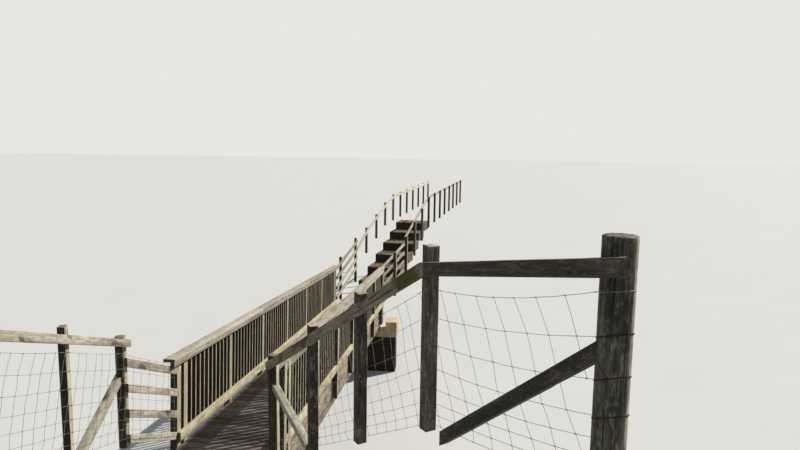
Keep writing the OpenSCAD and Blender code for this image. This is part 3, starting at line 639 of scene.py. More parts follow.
def point_values(piece, name, values):
    """Stores a number or a vector on each point, for a finish to read."""
    values = np.asarray(values, np.float32)
    kind, key = ("FLOAT", "value") if values.ndim == 1 else ("FLOAT_VECTOR", "vector")
    piece.data.attributes.new(name, kind, "POINT").data.foreach_set(key, values.ravel())


def loose_parts(mesh):
    """The number of the stick that each point belongs to."""
    ends = edges_of(mesh)
    label = np.arange(len(mesh.vertices))
    while True:
        low = np.minimum(label[ends[:, 0]], label[ends[:, 1]])
        new = label.copy()
        np.minimum.at(new, ends[:, 0], low)
        np.minimum.at(new, ends[:, 1], low)
        new = new[new]
        if (new == label).all():
            break
        label = new
    return np.unique(label, return_inverse=True)[1]


class Stick:
    """The own axes of one timber: along its grain, over its width and through it."""

    def __init__(self, points, ends):
        runs = points[ends[:, 1]] - points[ends[:, 0]]
        length = np.linalg.norm(runs, axis=1)
        along = runs[length.argmax()] / length.max()
        rest = runs - np.outer(runs @ along, along)
        wide = rest[np.linalg.norm(rest, axis=1).argmax()]
        wide = wide / np.linalg.norm(wide)
        self.axes = np.array([along, wide, np.cross(along, wide)])
        self.middle = (points.min(0) + points.max(0)) / 2
        local = (points - self.middle) @ self.axes.T
        self.half = (local.max(0) - local.min(0)) / 2
        self.tone = random.random()
        angle = random.uniform(0, FULL_TURN)
        pith = random.uniform(0.03, 0.11)
        self.offset = np.array(
            [random.uniform(0, 40), pith * cos(angle), pith * sin(angle)])


def sticks_of(mesh):
    points = points_of(mesh)
    ends = edges_of(mesh)
    number = loose_parts(mesh)
    found = []
    for part in range(number.max() + 1):
        chosen = np.flatnonzero(number == part)
        place = {old: new for new, old in enumerate(chosen)}
        own = ends[number[ends[:, 0]] == part]
        own = np.array([[place[a], place[b]] for a, b in own])
        found.append(Stick(points[chosen], own))
    return found


def nearest_stick(piece, sticks):
    """For each point, the number of the stick that it belongs to."""
    number = loose_parts(piece.data)
    points = points_of(piece.data)
    middles = np.array([stick.middle for stick in sticks])
    match = np.zeros(number.max() + 1, int)
    for part in range(number.max() + 1):
        own = points[number == part]
        middle = (own.min(0) + own.max(0)) / 2
        match[part] = np.linalg.norm(middles - middle, axis=1).argmin()
    return match[number]


def of_sticks(sticks, part, number):
    """One value of each point's own stick."""
    return np.array([getattr(stick, part) for stick in sticks])[number]


def tidy_copy(node, name):
    """A copy of a CAD node's mesh, its loose triangles joined into whole faces."""
    mesh = NODES[node].data.copy()
    mesh.materials.clear()
    piece = show(name, mesh)
    edit(piece, "VERT")
    bpy.ops.mesh.select_all(action="SELECT")
    bpy.ops.mesh.remove_doubles(threshold=0.00005)
    bpy.ops.mesh.dissolve_limited(angle_limit=radians(0.4))
    object_mode()
    if mesh.has_custom_normals:
        bpy.ops.mesh.customdata_custom_splitnormals_clear()
    return piece


def ease_edges(piece, width, segments):
    bevel = piece.modifiers.new("eased_edges", "BEVEL")
    bevel.width = width
    bevel.segments = segments
    bevel.limit_method = "ANGLE"
    bevel.angle_limit = radians(35)
    select_only(piece)
    bpy.ops.object.modifier_apply(modifier=bevel.name)


def smooth(piece, angle=42):
    select_only(piece)
    bpy.ops.object.shade_smooth_by_angle(angle=radians(angle))


def cut_rows(piece, sticks, axis, spacing, least=0.02):
    """Cuts every stick into rows across one of its axes, like a row of loop cuts."""
    mesh = piece.data
    points = points_of(mesh)
    ends = edges_of(mesh)
    number = nearest_stick(piece, sticks)
    runs = points[ends[:, 1]] - points[ends[:, 0]]
    length = np.linalg.norm(runs, axis=1)
    direction = of_sticks(sticks, "axes", number[ends[:, 0]])[:, axis]
    same_way = np.abs((runs * direction).sum(1)) > 0.985 * np.maximum(length, 1e-9)
    chosen = same_way & (length > least)
    if not chosen.any():
        return
    cuts = int(min(100, max(1, round(np.median(length[chosen]) / spacing) - 1)))
    edit(piece)
    bpy.ops.mesh.select_all(action="DESELECT")
    object_mode()
    mesh.edges.foreach_set("select", chosen)
    edit(piece)
    bpy.ops.mesh.subdivide(number_cuts=cuts)
    object_mode()


def cut_by_planes(piece, axis, spacing):
    """Cuts a piece into even slices, a hair off its own corners."""
    points = points_of(piece.data)
    low = points[:, axis].min()
    high = points[:, axis].max()
    count = max(1, int((high - low) / spacing))
    normal = [0, 0, 0]
    normal[axis] = 1
    edit(piece, "FACE")
    for step in range(1, count):
        place = [0, 0, 0]
        place[axis] = low + (high - low) * step / count + HAIR
        bpy.ops.mesh.select_all(action="SELECT")
        bpy.ops.mesh.bisect(plane_co=place, plane_no=normal)
    object_mode()


def pick_top(piece):
    """Selects the highest face that looks up, in edit mode."""
    edit(piece, "FACE")
    bpy.ops.mesh.select_all(action="DESELECT")
    object_mode()
    tops = [face for face in piece.data.polygons if face.normal.z > 0.9]
    max(tops, key=lambda face: (round(face.center.z, 6), len(face.vertices))).select = True
    edit(piece, "FACE")


def step_top(piece, steps):
    """Steps the top face in and up, ring by ring."""
    for inset, rise in steps:
        pick_top(piece)
        bpy.ops.mesh.inset(thickness=inset, depth=rise)
        object_mode()


def swell(*place):
    """Slow noise from 0 to 1."""
    return 0.5 + 0.5 * noise(place)


def clamped(value):
    return min(1.0, max(0.0, value))


def between(angle, other):
    """The angle between two directions, by the shorter way round."""
    return abs((angle - other + pi) % FULL_TURN - pi)


def near_place(points, place, reach):
    """How near each point lies to a place: 1 there, and 0 from the reach outward."""
    return np.clip(1 - np.linalg.norm(points - np.array(place), axis=1) / reach, 0, 1)


# Timber

def lay_grain(piece, sticks, check=None):
    """Stores where each point lies in its own log, and how near it is to the faces."""
    number = nearest_stick(piece, sticks)
    axes = of_sticks(sticks, "axes", number)
    away = points_of(piece.data) - of_sticks(sticks, "middle", number)
    local = np.einsum("nij,nj->ni", axes, away)
    share = local / of_sticks(sticks, "half", number)
    point_values(piece, "grain_point", local + of_sticks(sticks, "offset", number))
    point_values(piece, "grain_axis", axes[:, 0])
    point_values(piece, "face_place", share[:, [1, 2, 0]])
    point_values(piece, "piece_tone", of_sticks(sticks, "tone", number))
    if check is not None:
        point_values(piece, "check_depth", check)


def shift_sticks(piece, sticks, slide, tilt):
    """Sets each stick down a little out of true."""
    number = nearest_stick(piece, sticks)
    points = points_of(piece.data)
    for index, stick in enumerate(sticks):
        own = number == index
        move = np.array([random.uniform(-1, 1) * value for value in slide]) @ stick.axes
        turn = np.array(Matrix.Rotation(random.uniform(-tilt, tilt), 3, Vector(stick.axes[2])))
        points[own] = (points[own] - stick.middle) @ turn.T + stick.middle + move
    put_points(piece.data, points)


def weather(piece, sticks):
    """Wears a finely cut timber back: slow waves, grain ridges and drying checks."""
    number = nearest_stick(piece, sticks)
    points = points_of(piece.data)
    normals = normals_of(piece.data)
    depth = np.zeros(len(points))
    for index, stick in enumerate(sticks):
        own = np.flatnonzero(number == index)
        local = (points[own] - stick.middle) @ stick.axes.T + stick.offset
        side = 1 - np.abs(normals[own] @ stick.axes[0])
        for place, (x, y, z), share in zip(own, local, side):
            line = abs(noise((x * 0.8 + 7, y * 34, z * 34)))
            mask = noise((x * 1.3 + 31, y * 13, z * 13))
            crack = max(0.0, 1 - line / 0.075) * clamped((mask + 0.02) / 0.16) * share
            depth[place] = crack
            wave = WAVE_DEPTH * swell(x * 2.2, y * 9, z * 9)
            ridge = RIDGE_DEPTH * swell(x * 4.0, y * 120, z * 120)
            points[place] -= normals[place] * (wave + ridge + CHECK_DEPTH * crack)
    put_points(piece.data, points)
    return depth


def finish_piece(piece, material, slot, *nodes):
    piece.data.materials.clear()
    piece.data.materials.append(material)
    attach(piece, "root")
    if nodes:
        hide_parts(*nodes)


def dress(node, material, edge=0.004, segments=2, slide=STILL, tilt=0.0, fine=None, tones=()):
    """Turns one CAD node into weathered timber that stands in its place.

    Fine is the spacing of cuts along the grain and across it, for timber that is worn
    point by point. Tones are given from the far stick to the near one, 0 dark and 1 pale."""
    piece = tidy_copy(node, node + "_timber")
    sticks = sticks_of(piece.data)
    for stick, tone in zip(sorted(sticks, key=lambda stick: -stick.middle[1]), tones):
        stick.tone = tone
    ease_edges(piece, edge, segments)
    check = None
    if fine:
        cut_rows(piece, sticks, 0, fine[0])
        cut_rows(piece, sticks, 1, fine[1])
        cut_rows(piece, sticks, 2, fine[1])
        check = weather(piece, sticks)
    elif tilt or any(slide):
        shift_sticks(piece, sticks, slide, tilt)
    lay_grain(piece, sticks, check)
    smooth(piece)
    finish_piece(piece, material, SLOTS[node], node)
    return sticks


# Small fixings and stones

def scatter(name, template, places, angle, material, slot):
    """One mesh of many copies of a small modelled shape, each set at its own matrix."""
    shape = points_of(template.data)
    faces = [tuple(face.vertices) for face in template.data.polygons]
    points = []
    loops = []
    for index, matrix in enumerate(places):
        matrix = np.array(matrix)
        points.append(shape @ matrix[:3, :3].T + matrix[:3, 3])
        start = index * len(shape)
        loops.extend(tuple(corner + start for corner in face) for face in faces)
    mesh = bpy.data.meshes.new(name)
    mesh.from_pydata(np.concatenate(points).tolist(), [], loops)
    piece = show(name, mesh)
    tones = [random.random() for _ in places]
    point_values(piece, "piece_tone", np.repeat(tones, len(shape)))
    bpy.data.meshes.remove(template.data)
    smooth(piece, angle)
    finish_piece(piece, material, slot)


def aim(place, outward, spin):
    """The matrix that sets a shape's foot at a place with its Z pointing outward."""
    turn = Vector(outward).to_track_quat("Z", "Y").to_matrix().to_4x4()
    return Matrix.Translation(place) @ turn @ Matrix.Rotation(spin, 4, "Z")


def coach_bolt_shape():
    """A domed bolt head on a round washer, its foot at the origin."""
    bolt = new_shape(bpy.ops.mesh.primitive_cylinder_add,
        vertices=16, radius=0.019, depth=0.003, location=(0, 0, 0.0005))
    step_top(bolt, ((0.0075, 0.0), (0.0012, 0.0035), (0.0035, 0.0028), (0.004, 0.0012)))
    return bolt


def nail_shape():
    nail = new_shape(bpy.ops.mesh.primitive_cylinder_add,
        vertices=8, radius=0.0042, depth=0.0022, location=(0, 0, 0.0002))
    step_top(nail, ((0.0014, 0.0005),))
    return nail


def pebble_shape():
    pebble = new_shape(bpy.ops.mesh.primitive_ico_sphere_add, subdivisions=1, radius=1.0)
    edit(pebble, "VERT")
    bpy.ops.mesh.select_all(action="SELECT")
    bpy.ops.transform.resize(value=(1.0, 0.78, 0.55))
    object_mode()
    return pebble


# Bridge

def deck_frame(x, along, up):
    """A point given on the sloping deck: across, along from the first posts, and up."""
    return Vector((
        x,
        FIRST_POST_Y + along * cos(DECK_SLOPE) + up * sin(DECK_SLOPE),
        DECK_TOP - along * sin(DECK_SLOPE) + up * cos(DECK_SLOPE),
    ))


DECK_UP = Vector((0, sin(DECK_SLOPE), cos(DECK_SLOPE)))
DECK_ALONG = Vector((0, cos(DECK_SLOPE), -sin(DECK_SLOPE)))


def build_bridge():
    """The timbers of the bridge; gives the places of its nails and bolts."""
    nails = []
    bolts = []

    def drive(fixings, place, outward):
        fixings.append(aim(place, outward, random.random() * 6))

    dress("left_main_beam", BEAM, 0.005)
    dress("right_main_beam", BEAM, 0.005)
    dress("cross_bearers", BEAM, segments=1)
    boards = dress("deck_boards", DECKING, slide=(0.003, 0.0012, 0.0012), tilt=radians(0.15))
    posts = [bay * BAY for bay in range(BAYS + 1)]
    posts += [-END_POST_OFFSET, BAYS * BAY + END_POST_OFFSET]
    for side, word in ((-1, "left_"), (1, "right_")):
        dress(word + "parapet_posts", GREY, slide=(0, 0.0008, 0.0008))
        dress(word + "bottom_rails", LOW_RAIL, 0.003)
        dress(word + "top_rails", PALE, 0.003)
        dress(word + "balusters", BALUSTER, 0.0025, 1, (0, 0.0015, 0.0), radians(0.25))
        dress(word + "cap", PALE, 0.005)
        for along in posts:
            for up in BOLT_HEIGHTS:
                place = deck_frame(side * POST_OUTER, along + random.uniform(-0.006, 0.006), up)
                drive(bolts, place, (side, 0, 0))
            for up in (BOTTOM_RAIL[0] + 0.03, BOTTOM_RAIL[1] - 0.03, CAP_LOW - 0.03):
                place = deck_frame(side * RAIL_INNER, along + random.uniform(-0.015, 0.015), up)
                drive(nails, place, (-side, 0, 0))
        for bay in range(BAYS):
            for index in range(1, BALUSTERS + 1):
                along = bay * BAY + BALUSTER_START + index * BALUSTER_PITCH
                for up in (sum(BOTTOM_RAIL) / 2, CAP_LOW - 0.032):
                    place = deck_frame(side * RAIL_INNER, along + random.uniform(-0.006, 0.006),
                        up + random.uniform(-0.01, 0.01))
                    drive(nails, place, (-side, 0, 0))
        along = -0.3
        while along < BAYS * BAY + 0.25:
            for x in CAP_NAILS:
                drive(nails, deck_frame(side * x, along, CAP_LOW + 0.04), DECK_UP)
            along += CAP_NAIL_SPACING
    for board in boards:
        for side in (-1, 1):
            for step in (-0.04, 0.04):
                place = Vector(board.middle) + Vector((side * DECK_NAIL_X, 0, 0))
                place += DECK_UP * DECK_NAIL_RISE
                place += DECK_ALONG * (step + random.uniform(-0.006, 0.006))
                drive(nails, place, DECK_UP)
    return nails, bolts


# Fences

def fence_point(start, turn, x, y, z):
    """A point given from a fence's start: along it, square to it, and its height."""
    angle = turn - pi / 2
    return Vector((
        start[0] + x * cos(angle) - y * sin(angle),
        start[1] + x * sin(angle) + y * cos(angle),
        z,
    ))


def left_point(x, y, z):
    """Along the left fence from its strainer, and towards the walkway."""
    return fence_point(LEFT_STRAINER, LEFT_TURN, x, y, z)


def right_point(x, y, z):
    """Along the right fence from the newel, and away from the walkway."""
    return fence_point(NEWEL, RIGHT_TURN, x, y, z)


RIGHT_STRAINER = right_point(STRAINER_X, STRAINER_RADIUS - WING_FACE, 0)


def wing_rail_z(x):
    last = RIGHT_POSTS[-1]
    if x < last:
        return WING_RAIL_START + x * tan(WING_SLOPE)
    return WING_RAIL_START + last * tan(WING_SLOPE) + (x - last) * tan(STRAINER_SLOPE)


def build_fences():
    for node, material, fine, tones in (
        ("near_panel_rails", BLEACHED, (0.03, 0.011), ()),
        ("left_fence_posts", DARK_POST, (0.03, 0.012), ()),
        ("left_fence_rail", BLEACHED, (0.035, 0.011), ()),
        ("left_fence_strut", BLEACHED, (0.03, 0.012), ()),
        ("newel_post", DARK_POST, None, ()),
        ("newel_brace", BLEACHED, None, ()),
        ("right_fence_posts", FENCE_POST, (0.025, 0.007), (0.0, 0.38, 0.8)),
        ("sloping_rail", SLOPE_RAIL, (0.03, 0.008), ()),
        ("strainer_rail", STRAINER_RAIL, (0.022, 0.007), (0.6,)),
        ("strainer_brace", STRAINER_RAIL, (0.022, 0.008), (0.1,)),
    ):
        dress(node, material, fine=fine, tones=tones)
    spread_film("sloping_rail",
        ((RIGHT_POSTS[-1] - 0.16, 0.30, 1.0), (RIGHT_POSTS[0] - 0.30, 0.22, 0.55)))
    dress("far_panel_posts", GREY, slide=(0.001, 0.0008, 0.0008))
    dress("far_left_panel_rails", BLEACHED, segments=1)
    dress("far_right_panel_rails", BLEACHED, segments=1)
    for word in ("left_", "right_"):
        dress(word + "handrail_posts", GREY, segments=1, slide=(0, 0.002, 0.002))
        dress(word + "handrail", HANDRAIL)


def spread_film(node, patches):
    """A green film on a wing rail where rain stands: how far along, its reach, its depth."""
    piece = bpy.data.objects[node + "_timber"]
    points = points_of(piece.data)
    cover = np.zeros(len(points))
    for x, reach, thick in patches:
        near = near_place(points, right_point(x, -0.06, wing_rail_z(x)), reach)
        cover = np.maximum(cover, thick * near ** 0.7)
    point_values(piece, "film_cover", cover)
    # The sloping rail's tone falls towards the newel end
    darkening = near_place(points, right_point(0, 0, wing_rail_z(0)), DARKENING_REACH)
    tones = np.empty(len(points), np.float32)
    values = piece.data.attributes["piece_tone"].data
    values.foreach_get("value", tones)
    values.foreach_set("value", (tones - 0.7 * darkening).astype(np.float32))


def round_post(node, x, y, radius, box, material, sides, scoured=False):
    """A round post turned from a cylinder, with drying checks and a worn, shaken top."""
    foot = box[0].z
    top = box[1].z
    ring = radius * 0.22
    post = new_shape(bpy.ops.mesh.primitive_cylinder_add,
        vertices=sides, radius=radius, depth=top - foot, location=(x, y, (top + foot) / 2))
    post.name = node.replace("_post", "_timber")
    step_top(post, ((0.003, 0.004), (0.006, 0.003), (ring, 0.0), (ring, 0.001), (ring, 0.001),
        (radius * 0.14, 0.0)))
    points = points_of(post.data)
    over = points[:, 2].max() - top
    points[points[:, 2] > foot + 0.001, 2] -= over
    put_points(post.data, points)
    sticks = sticks_of(post.data)
    sticks[0].middle = np.array([x, y, (top + foot) / 2])
    sticks[0].axes = np.array([[0.0, 0.0, 1.0], [1.0, 0.0, 0.0], [0.0, 1.0, 0.0]])
    sticks[0].offset = np.array([random.uniform(0, 40), 0.006, -0.004])
    cut_rows(post, sticks, 0, 0.02, 0.3)
    points = points_of(post.data)
    cracks = []
    for _ in range(CRACKS):
        where = random.uniform(0, FULL_TURN)
        middle = random.uniform(0.05, 0.98)
        cracks.append((where, middle, random.uniform(0.04, 0.24)))
    depth = np.zeros(len(points))
    for index, (px, py, pz) in enumerate(points):
        dx = px - x
        dy = py - y
        reach = hypot(dx, dy)
        angle = atan2(dy, dx)
        up = (pz - foot) / (top - foot)
        crack = 0.0
        for where, middle, half in cracks:
            bend = where + 0.10 * noise((pz * 2.0, where * 9, 0))
            bend += 0.02 * noise((pz * 14, where, 3))
            across = max(0.0, 1 - between(angle, bend) / CRACK_WIDTH)
            crack = max(crack, across * max(0.0, 1 - (abs(up - middle) / half) ** 2))
        wave = swell(cos(angle) * 1.2, sin(angle) * 1.2, pz * 1.1)
        fine = swell(cos(angle) * 11, sin(angle) * 11, pz * 2.5)
        if reach > radius * 0.93:
            inward = 0.0016 * wave + 0.0010 * fine + 0.0045 * crack
            points[index, 0] -= dx / reach * inward
            points[index, 1] -= dy / reach * inward
            depth[index] = crack
        if up > 0.99 and reach > 0.0001:
            shake = max(0.0, 1 - abs(sin(angle * 2.5 + 0.9)) / 0.16)
            shake *= min(1.0, reach / radius * 1.4)
            points[index, 2] -= 0.004 * swell(px * 34, py * 34, 5) + 0.005 * shake
            depth[index] = max(depth[index], shake * 0.8)
    put_points(post.data, points)
    lay_grain(post, sticks, depth)
    if scoured:
        scour(post, x, y)
    smooth(post, 50)
    finish_piece(post, material, SLOTS[node], node)


def scour(post, x, y):
    """Stores a paler tone where rain has worn a post, darker above and in streaks."""
    tones = []
    for px, py, pz in points_of(post.data):
        angle = atan2(py - y, px - x)
        facing = max(0.0, 1 - between(angle, SCOURED_SIDE) / 0.9)
        low = clamped((SCOURED_TOP - pz) / 0.1)
        streak = noise((cos(angle) * 4.5, sin(angle) * 4.5, pz * 1.6 + 3))
        patch = noise((cos(angle) * 1.6, sin(angle) * 1.6, pz * 5 + 8))
        tones.append(0.32 + low * (0.18 + 0.28 * facing) + 0.55 * streak + 0.5 * patch)
    tones = np.clip(tones, 0, 1).astype(np.float32)
    post.data.attributes["piece_tone"].data.foreach_set("value", tones)


# Wire

class WireWork:
    """Wires drawn as round runs through points, joined into one mesh."""

    def __init__(self, name):
        self.name = name
        self.curve = bpy.data.curves.new(name, "CURVE")
        self.curve.dimensions = "3D"
        self.curve.bevel_depth = 1.0
        self.curve.bevel_resolution = 1
        self.curve.use_fill_caps = True

    def run(self, points, radius):
        spline = self.curve.splines.new("POLY")
        spline.points.add(len(points) - 1)
        for slot, point in zip(spline.points, points):
            slot.co = (*point, 1.0)
            slot.radius = radius

    def wrap(self, height, radius, wire, turns, tilt):
        """Turns of wire round the right strainer, pulled up on one side by the strain."""
        points = []
        for index in range(int(WRAP_STEPS * turns) + 1):
            share = index / WRAP_STEPS
            angle = WRAP_START + share * FULL_TURN
            wobble = 0.0010 * noise((angle, height * 7, 1))
            reach = radius + wobble
            lift = tilt * cos(angle - WRAP_HIGH_SIDE) + wire * 2.1 * (share - turns / 2)
            points.append((RIGHT_STRAINER.x + reach * cos(angle),
                RIGHT_STRAINER.y + reach * sin(angle), height + lift + 2 * wobble))
        self.run(points, wire)

    def staple(self, where, x, face, z):
        points = []
        for step in range(7):
            angle = pi * step / 6
            out = 0.0045 * sin(angle) - 0.0005
            points.append(where(x + 0.0015, face + out, z + 0.009 * cos(angle)))
        self.run(points, 0.0013)

    def make(self, material, *nodes):
        piece = show(self.name, self.curve)
        select_only(piece)
        bpy.ops.object.convert(target="MESH")
        piece = bpy.context.object
        point_values(piece, "piece_tone", np.full(len(piece.data.vertices), 0.4))
        smooth(piece, 70)
        finish_piece(piece, material, "wire", *nodes)


def hang_netting(wires, where, run, lows, highs, faces, spacing, sag, lean, seed):
    """Line wires that sag between two posts, with stays tied on that lean over.

    Lows and highs are the line wires' heights at the first post and at the second."""
    x0, x1 = run
    belly = random.Random(seed)
    drops = []
    for index in range(WIRES):
        drops.append(sag * (0.35 + 0.65 * index / (WIRES - 1)) * belly.uniform(0.85, 1.12))
    bulges = [belly.uniform(-0.012, 0.012) for _ in range(WIRES)]

    def spot(index, x):
        share = (x - x0) / (x1 - x0)
        round_share = 4 * share * (1 - share)
        ripple = 0.0025 * noise((x * 9, index * 3.1, seed))
        z = lows[index] + (highs[index] - lows[index]) * share - drops[index] * round_share + ripple
        y = faces[0] + (faces[1] - faces[0]) * share + bulges[index] * round_share
        y += 0.004 * noise((x * 5, index, seed + 4)) * round_share
        return x, y, z

    knots = []
    for index in range(WIRES):
        count = max(6, int((x1 - x0) / 0.05))
        line = [where(*spot(index, x0 + (x1 - x0) * step / count)) for step in range(count + 1)]
        wires.run(line, WIRE * (1.15 if index in (0, WIRES - 1) else 1.0))
    rise = (highs[0] - lows[0]) / (x1 - x0)
    for stay in range(int((x1 - x0 + lean) / spacing) + 1):
        foot = x0 + (stay + 0.5) * spacing
        skew = belly.uniform(-0.03, 0.03)
        line = []
        for index in range(WIRES):
            up = lows[index] - lows[0]
            x = foot - up * (lean + skew) + belly.uniform(-0.004, 0.004)
            if x < x0 + 0.012 or x > x1 - 0.012:
                continue
            x, y, z = spot(index, x)
            line.append(where(x, y + WIRE * 1.6, z))
            knots.append([where(x + end, y, z + end * rise) for end in (-0.007, 0.007)])
        if len(line) > 1:
            full = []
            for low, high in zip(line, line[1:]):
                bow = 0.003 * belly.uniform(-1, 1)
                full.append(low)
                full.append((low + high) / 2 + Vector((bow, bow, 0)))
            full.append(line[-1])
            wires.run(full, WIRE * 0.95)
    for low, high in knots:
        wires.run([low, (low + high) / 2, high], WIRE * 2.1)


def risen(foot, heights):
    return [foot + height for height in heights]


def build_netting():
    """Netting on the posts of both fences and over the near panel's rails."""
    wires = WireWork("left_netting_wire")
    stations = [LEFT_NET_START, *(bay * LEFT_BAY for bay in range(1, LEFT_BAYS)),
        LEFT_BAYS * LEFT_BAY + 0.03]
    faces = [LEFT_NET_FACE] + [LEFT_STRAINER_RADIUS + WIRE] * LEFT_BAYS
    heights = [risen(LEFT_FOOT + x * tan(LEFT_SLOPE), WIRE_HEIGHTS) for x in stations]
    for index, run in enumerate(zip(stations, stations[1:])):
        hang_netting(wires, left_point, run, heights[index], heights[index + 1],
            faces[index:index + 2], STAY_SPACING, 0.014, tan(LEFT_SLOPE), 3 + index)

    def panel_point(x, y, z):
        return Vector((-POST_INNER + y, PANEL_START - x, z))

    foot = LEFT_FOOT - PANEL_RUN * tan(PANEL_SLOPE)
    hang_netting(wires, panel_point, (0.0, PANEL_RUN), risen(foot, WIRE_HEIGHTS),
        risen(LEFT_FOOT, WIRE_HEIGHTS), (WIRE, WIRE), STAY_SPACING, 0.008, 0.1, 9)
    wires.make(WIRE_FINISH, "left_netting")

    wires = WireWork("right_netting_wire")
    stations = [0.1, *RIGHT_POSTS, STRAINER_X - STRAINER_RADIUS]
    feet = [wing_rail_z(x) - FENCE_RAIL_HEIGHT for x in stations]
    for index, run in enumerate(zip(stations, stations[1:])):
        lows = highs = RIGHT_HEIGHTS
        spacing, sag, lean = STAY_SPACING, 0.012, 0.35
        if index == len(RIGHT_POSTS):
            lows, highs = POST_HEIGHTS, STRAINER_HEIGHTS
            spacing, sag, lean = STRAINER_STAYS, 0.042, 0.44
        hang_netting(wires, right_point, run, risen(feet[index], lows), risen(feet[index + 1], highs),
            [WING_FACE + WIRE] * 2, spacing, sag, lean, 21 + index)
    wires.make(WIRE_FINISH, "right_netting")


def build_strainer_wraps():
    """The line wires made fast round the right strainer, one with a loose twisted tail."""
    bright = WireWork("strainer_line_wire")
    bright.wrap(WRAP_HEIGHTS[0], STRAINER_RADIUS, 0.0015, 1.0, WRAP_TILTS[0])
    bright.make(WIRE_FINISH)
    wires = WireWork("strainer_wire_wraps")
    for height, tilt, thick in zip(WRAP_HEIGHTS[1:], WRAP_TILTS[1:], (0.0019, 0.0016, 0.0017)):
        wires.wrap(height, STRAINER_RADIUS + 0.0006, thick, 2.0, tilt)
    tail = []
    for step in range(TAIL_STEPS + 1):
        share = step / TAIL_STEPS
        angle = TAIL_START + TAIL_SWING * share
        reach = STRAINER_RADIUS + 0.004 + 0.010 * sin(share * 3)
        z = TAIL_HEIGHT - TAIL_FALL * share + 0.002 * sin(step * 2.2)
        tail.append((RIGHT_STRAINER.x + reach * cos(angle),
            RIGHT_STRAINER.y + reach * sin(angle), z))
    wires.run(tail, 0.0024)
    wires.make(OLD_WIRE)


def fence_nails():
    """Nails through the rails into the posts, and staples over the line wires."""
    nails = []
    staples = WireWork("fence_staples")

    def nail(where, x, y, z):
        outward = where(0, copysign(1, y), 0) - where(0, 0, 0)
        nails.append(aim(where(x, y, z), outward, 0.3))

    for x in RIGHT_POSTS:
        for shift in (-0.02, 0.02):
            nail(right_point, x + shift, -WING_FACE - RAIL_THICK, wing_rail_z(x) + shift * 0.6)
        for height in RIGHT_HEIGHTS:
            staples.staple(right_point, x, WING_FACE, wing_rail_z(x) - FENCE_RAIL_HEIGHT + height)
    for shift in (-0.035, 0.02):
        nail(right_point, STRAINER_X + shift, -WING_FACE - RAIL_THICK, wing_rail_z(STRAINER_X) + shift)
    for bay in range(1, LEFT_BAYS + 1):
        x = bay * LEFT_BAY
        foot = LEFT_FOOT + x * tan(LEFT_SLOPE)
        for shift in (-0.02, 0.02):
            nail(left_point, x + shift, LEFT_STRAINER_RADIUS + RAIL_THICK,
                foot + FENCE_RAIL_HEIGHT + shift)
        for height in WIRE_HEIGHTS:
            staples.staple(left_point, x, LEFT_STRAINER_RADIUS, foot + height)
    staples.make(NAIL)
    return nails


# Concrete and gravel

def rough_cast(node, material, edge=0.012, grid=0.07, depth=0.004, band=0.0):
    """Concrete with eased, chipped edges and an uneven face."""
    piece = tidy_copy(node, node + "_cast")
    ease_edges(piece, edge, 2)
    # Only for its random draws, which set the random numbers that all later draws get
    sticks_of(piece.data)
    for axis in range(3):
        cut_by_planes(piece, axis, grid)
    points = points_of(piece.data)
    normals = normals_of(piece.data)
    for index, (x, y, z) in enumerate(points):
        level = floor((z - 0.02 * noise((x, y, 2))) / 0.15)
        board = 0.5 + 0.5 * sin(level * 12.9898)
        flat = 1 - abs(normals[index][2])
        uneven = 0.6 * swell(x * 3, y * 3, z * 3) + 0.4 * swell(x * 19, y * 19, z * 19)
        points[index] -= normals[index] * (depth * uneven + band * board * flat)
    put_points(piece.data, points)
    smooth(piece, 50)
    finish_piece(piece, material, SLOTS[node], node)


def gravel_bed(node, name):
    """A bed of packed gravel with an uneven top; gives the places of its loose stones."""
    piece = tidy_copy(node, name)
    for axis in (0, 1):
        cut_by_planes(piece, axis, GRAVEL_GRID)
    mesh = piece.data
    points = points_of(mesh)
    normals = normals_of(mesh)
    for index, (x, y, _) in enumerate(points):
        if normals[index][2] > 0.5:
            points[index, 2] -= 0.006 * swell(x * 4, y * 4, 0) + 0.003 * swell(x * 25, y * 25, 4)
    put_points(mesh, points)
    point_values(piece, "piece_tone", np.full(len(points), 0.45))
    smooth(piece, 40)
    places = []
    for face in mesh.polygons:
        if face.normal.z > 0.7:
            wanted = face.area * STONES_PER_SQUARE
            count = int(wanted) + (random.random() < wanted % 1)
            corners = [Vector(mesh.vertices[index].co) for index in face.vertices]
            places.extend(stone_place(corners) for _ in range(count))
    finish_piece(piece, TREAD, SLOTS[node], node)
    return places


def stone_place(corners):
    """The matrix of a loose stone that lies somewhere between a face's corners."""
    weights = [random.random() for _ in corners]
    place = sum((corner * weight for corner, weight in zip(corners, weights)), Vector())
    place /= sum(weights)
    size = random.choice((0.006, 0.008, 0.010, 0.014)) * random.uniform(0.8, 1.3)
    turn = Matrix.Rotation(random.random() * 6.28, 4, "Z")
    turn = turn @ Matrix.Rotation(random.uniform(-0.4, 0.4), 4, "X")
    stretch = Matrix.Diagonal(
        (random.uniform(0.8, 1.25), random.uniform(0.8, 1.2), random.uniform(0.7, 1.1), 1))
    place = Matrix.Translation(place + Vector((0, 0, size * 0.12)))
    return place @ turn @ Matrix.Scale(size, 4) @ stretch


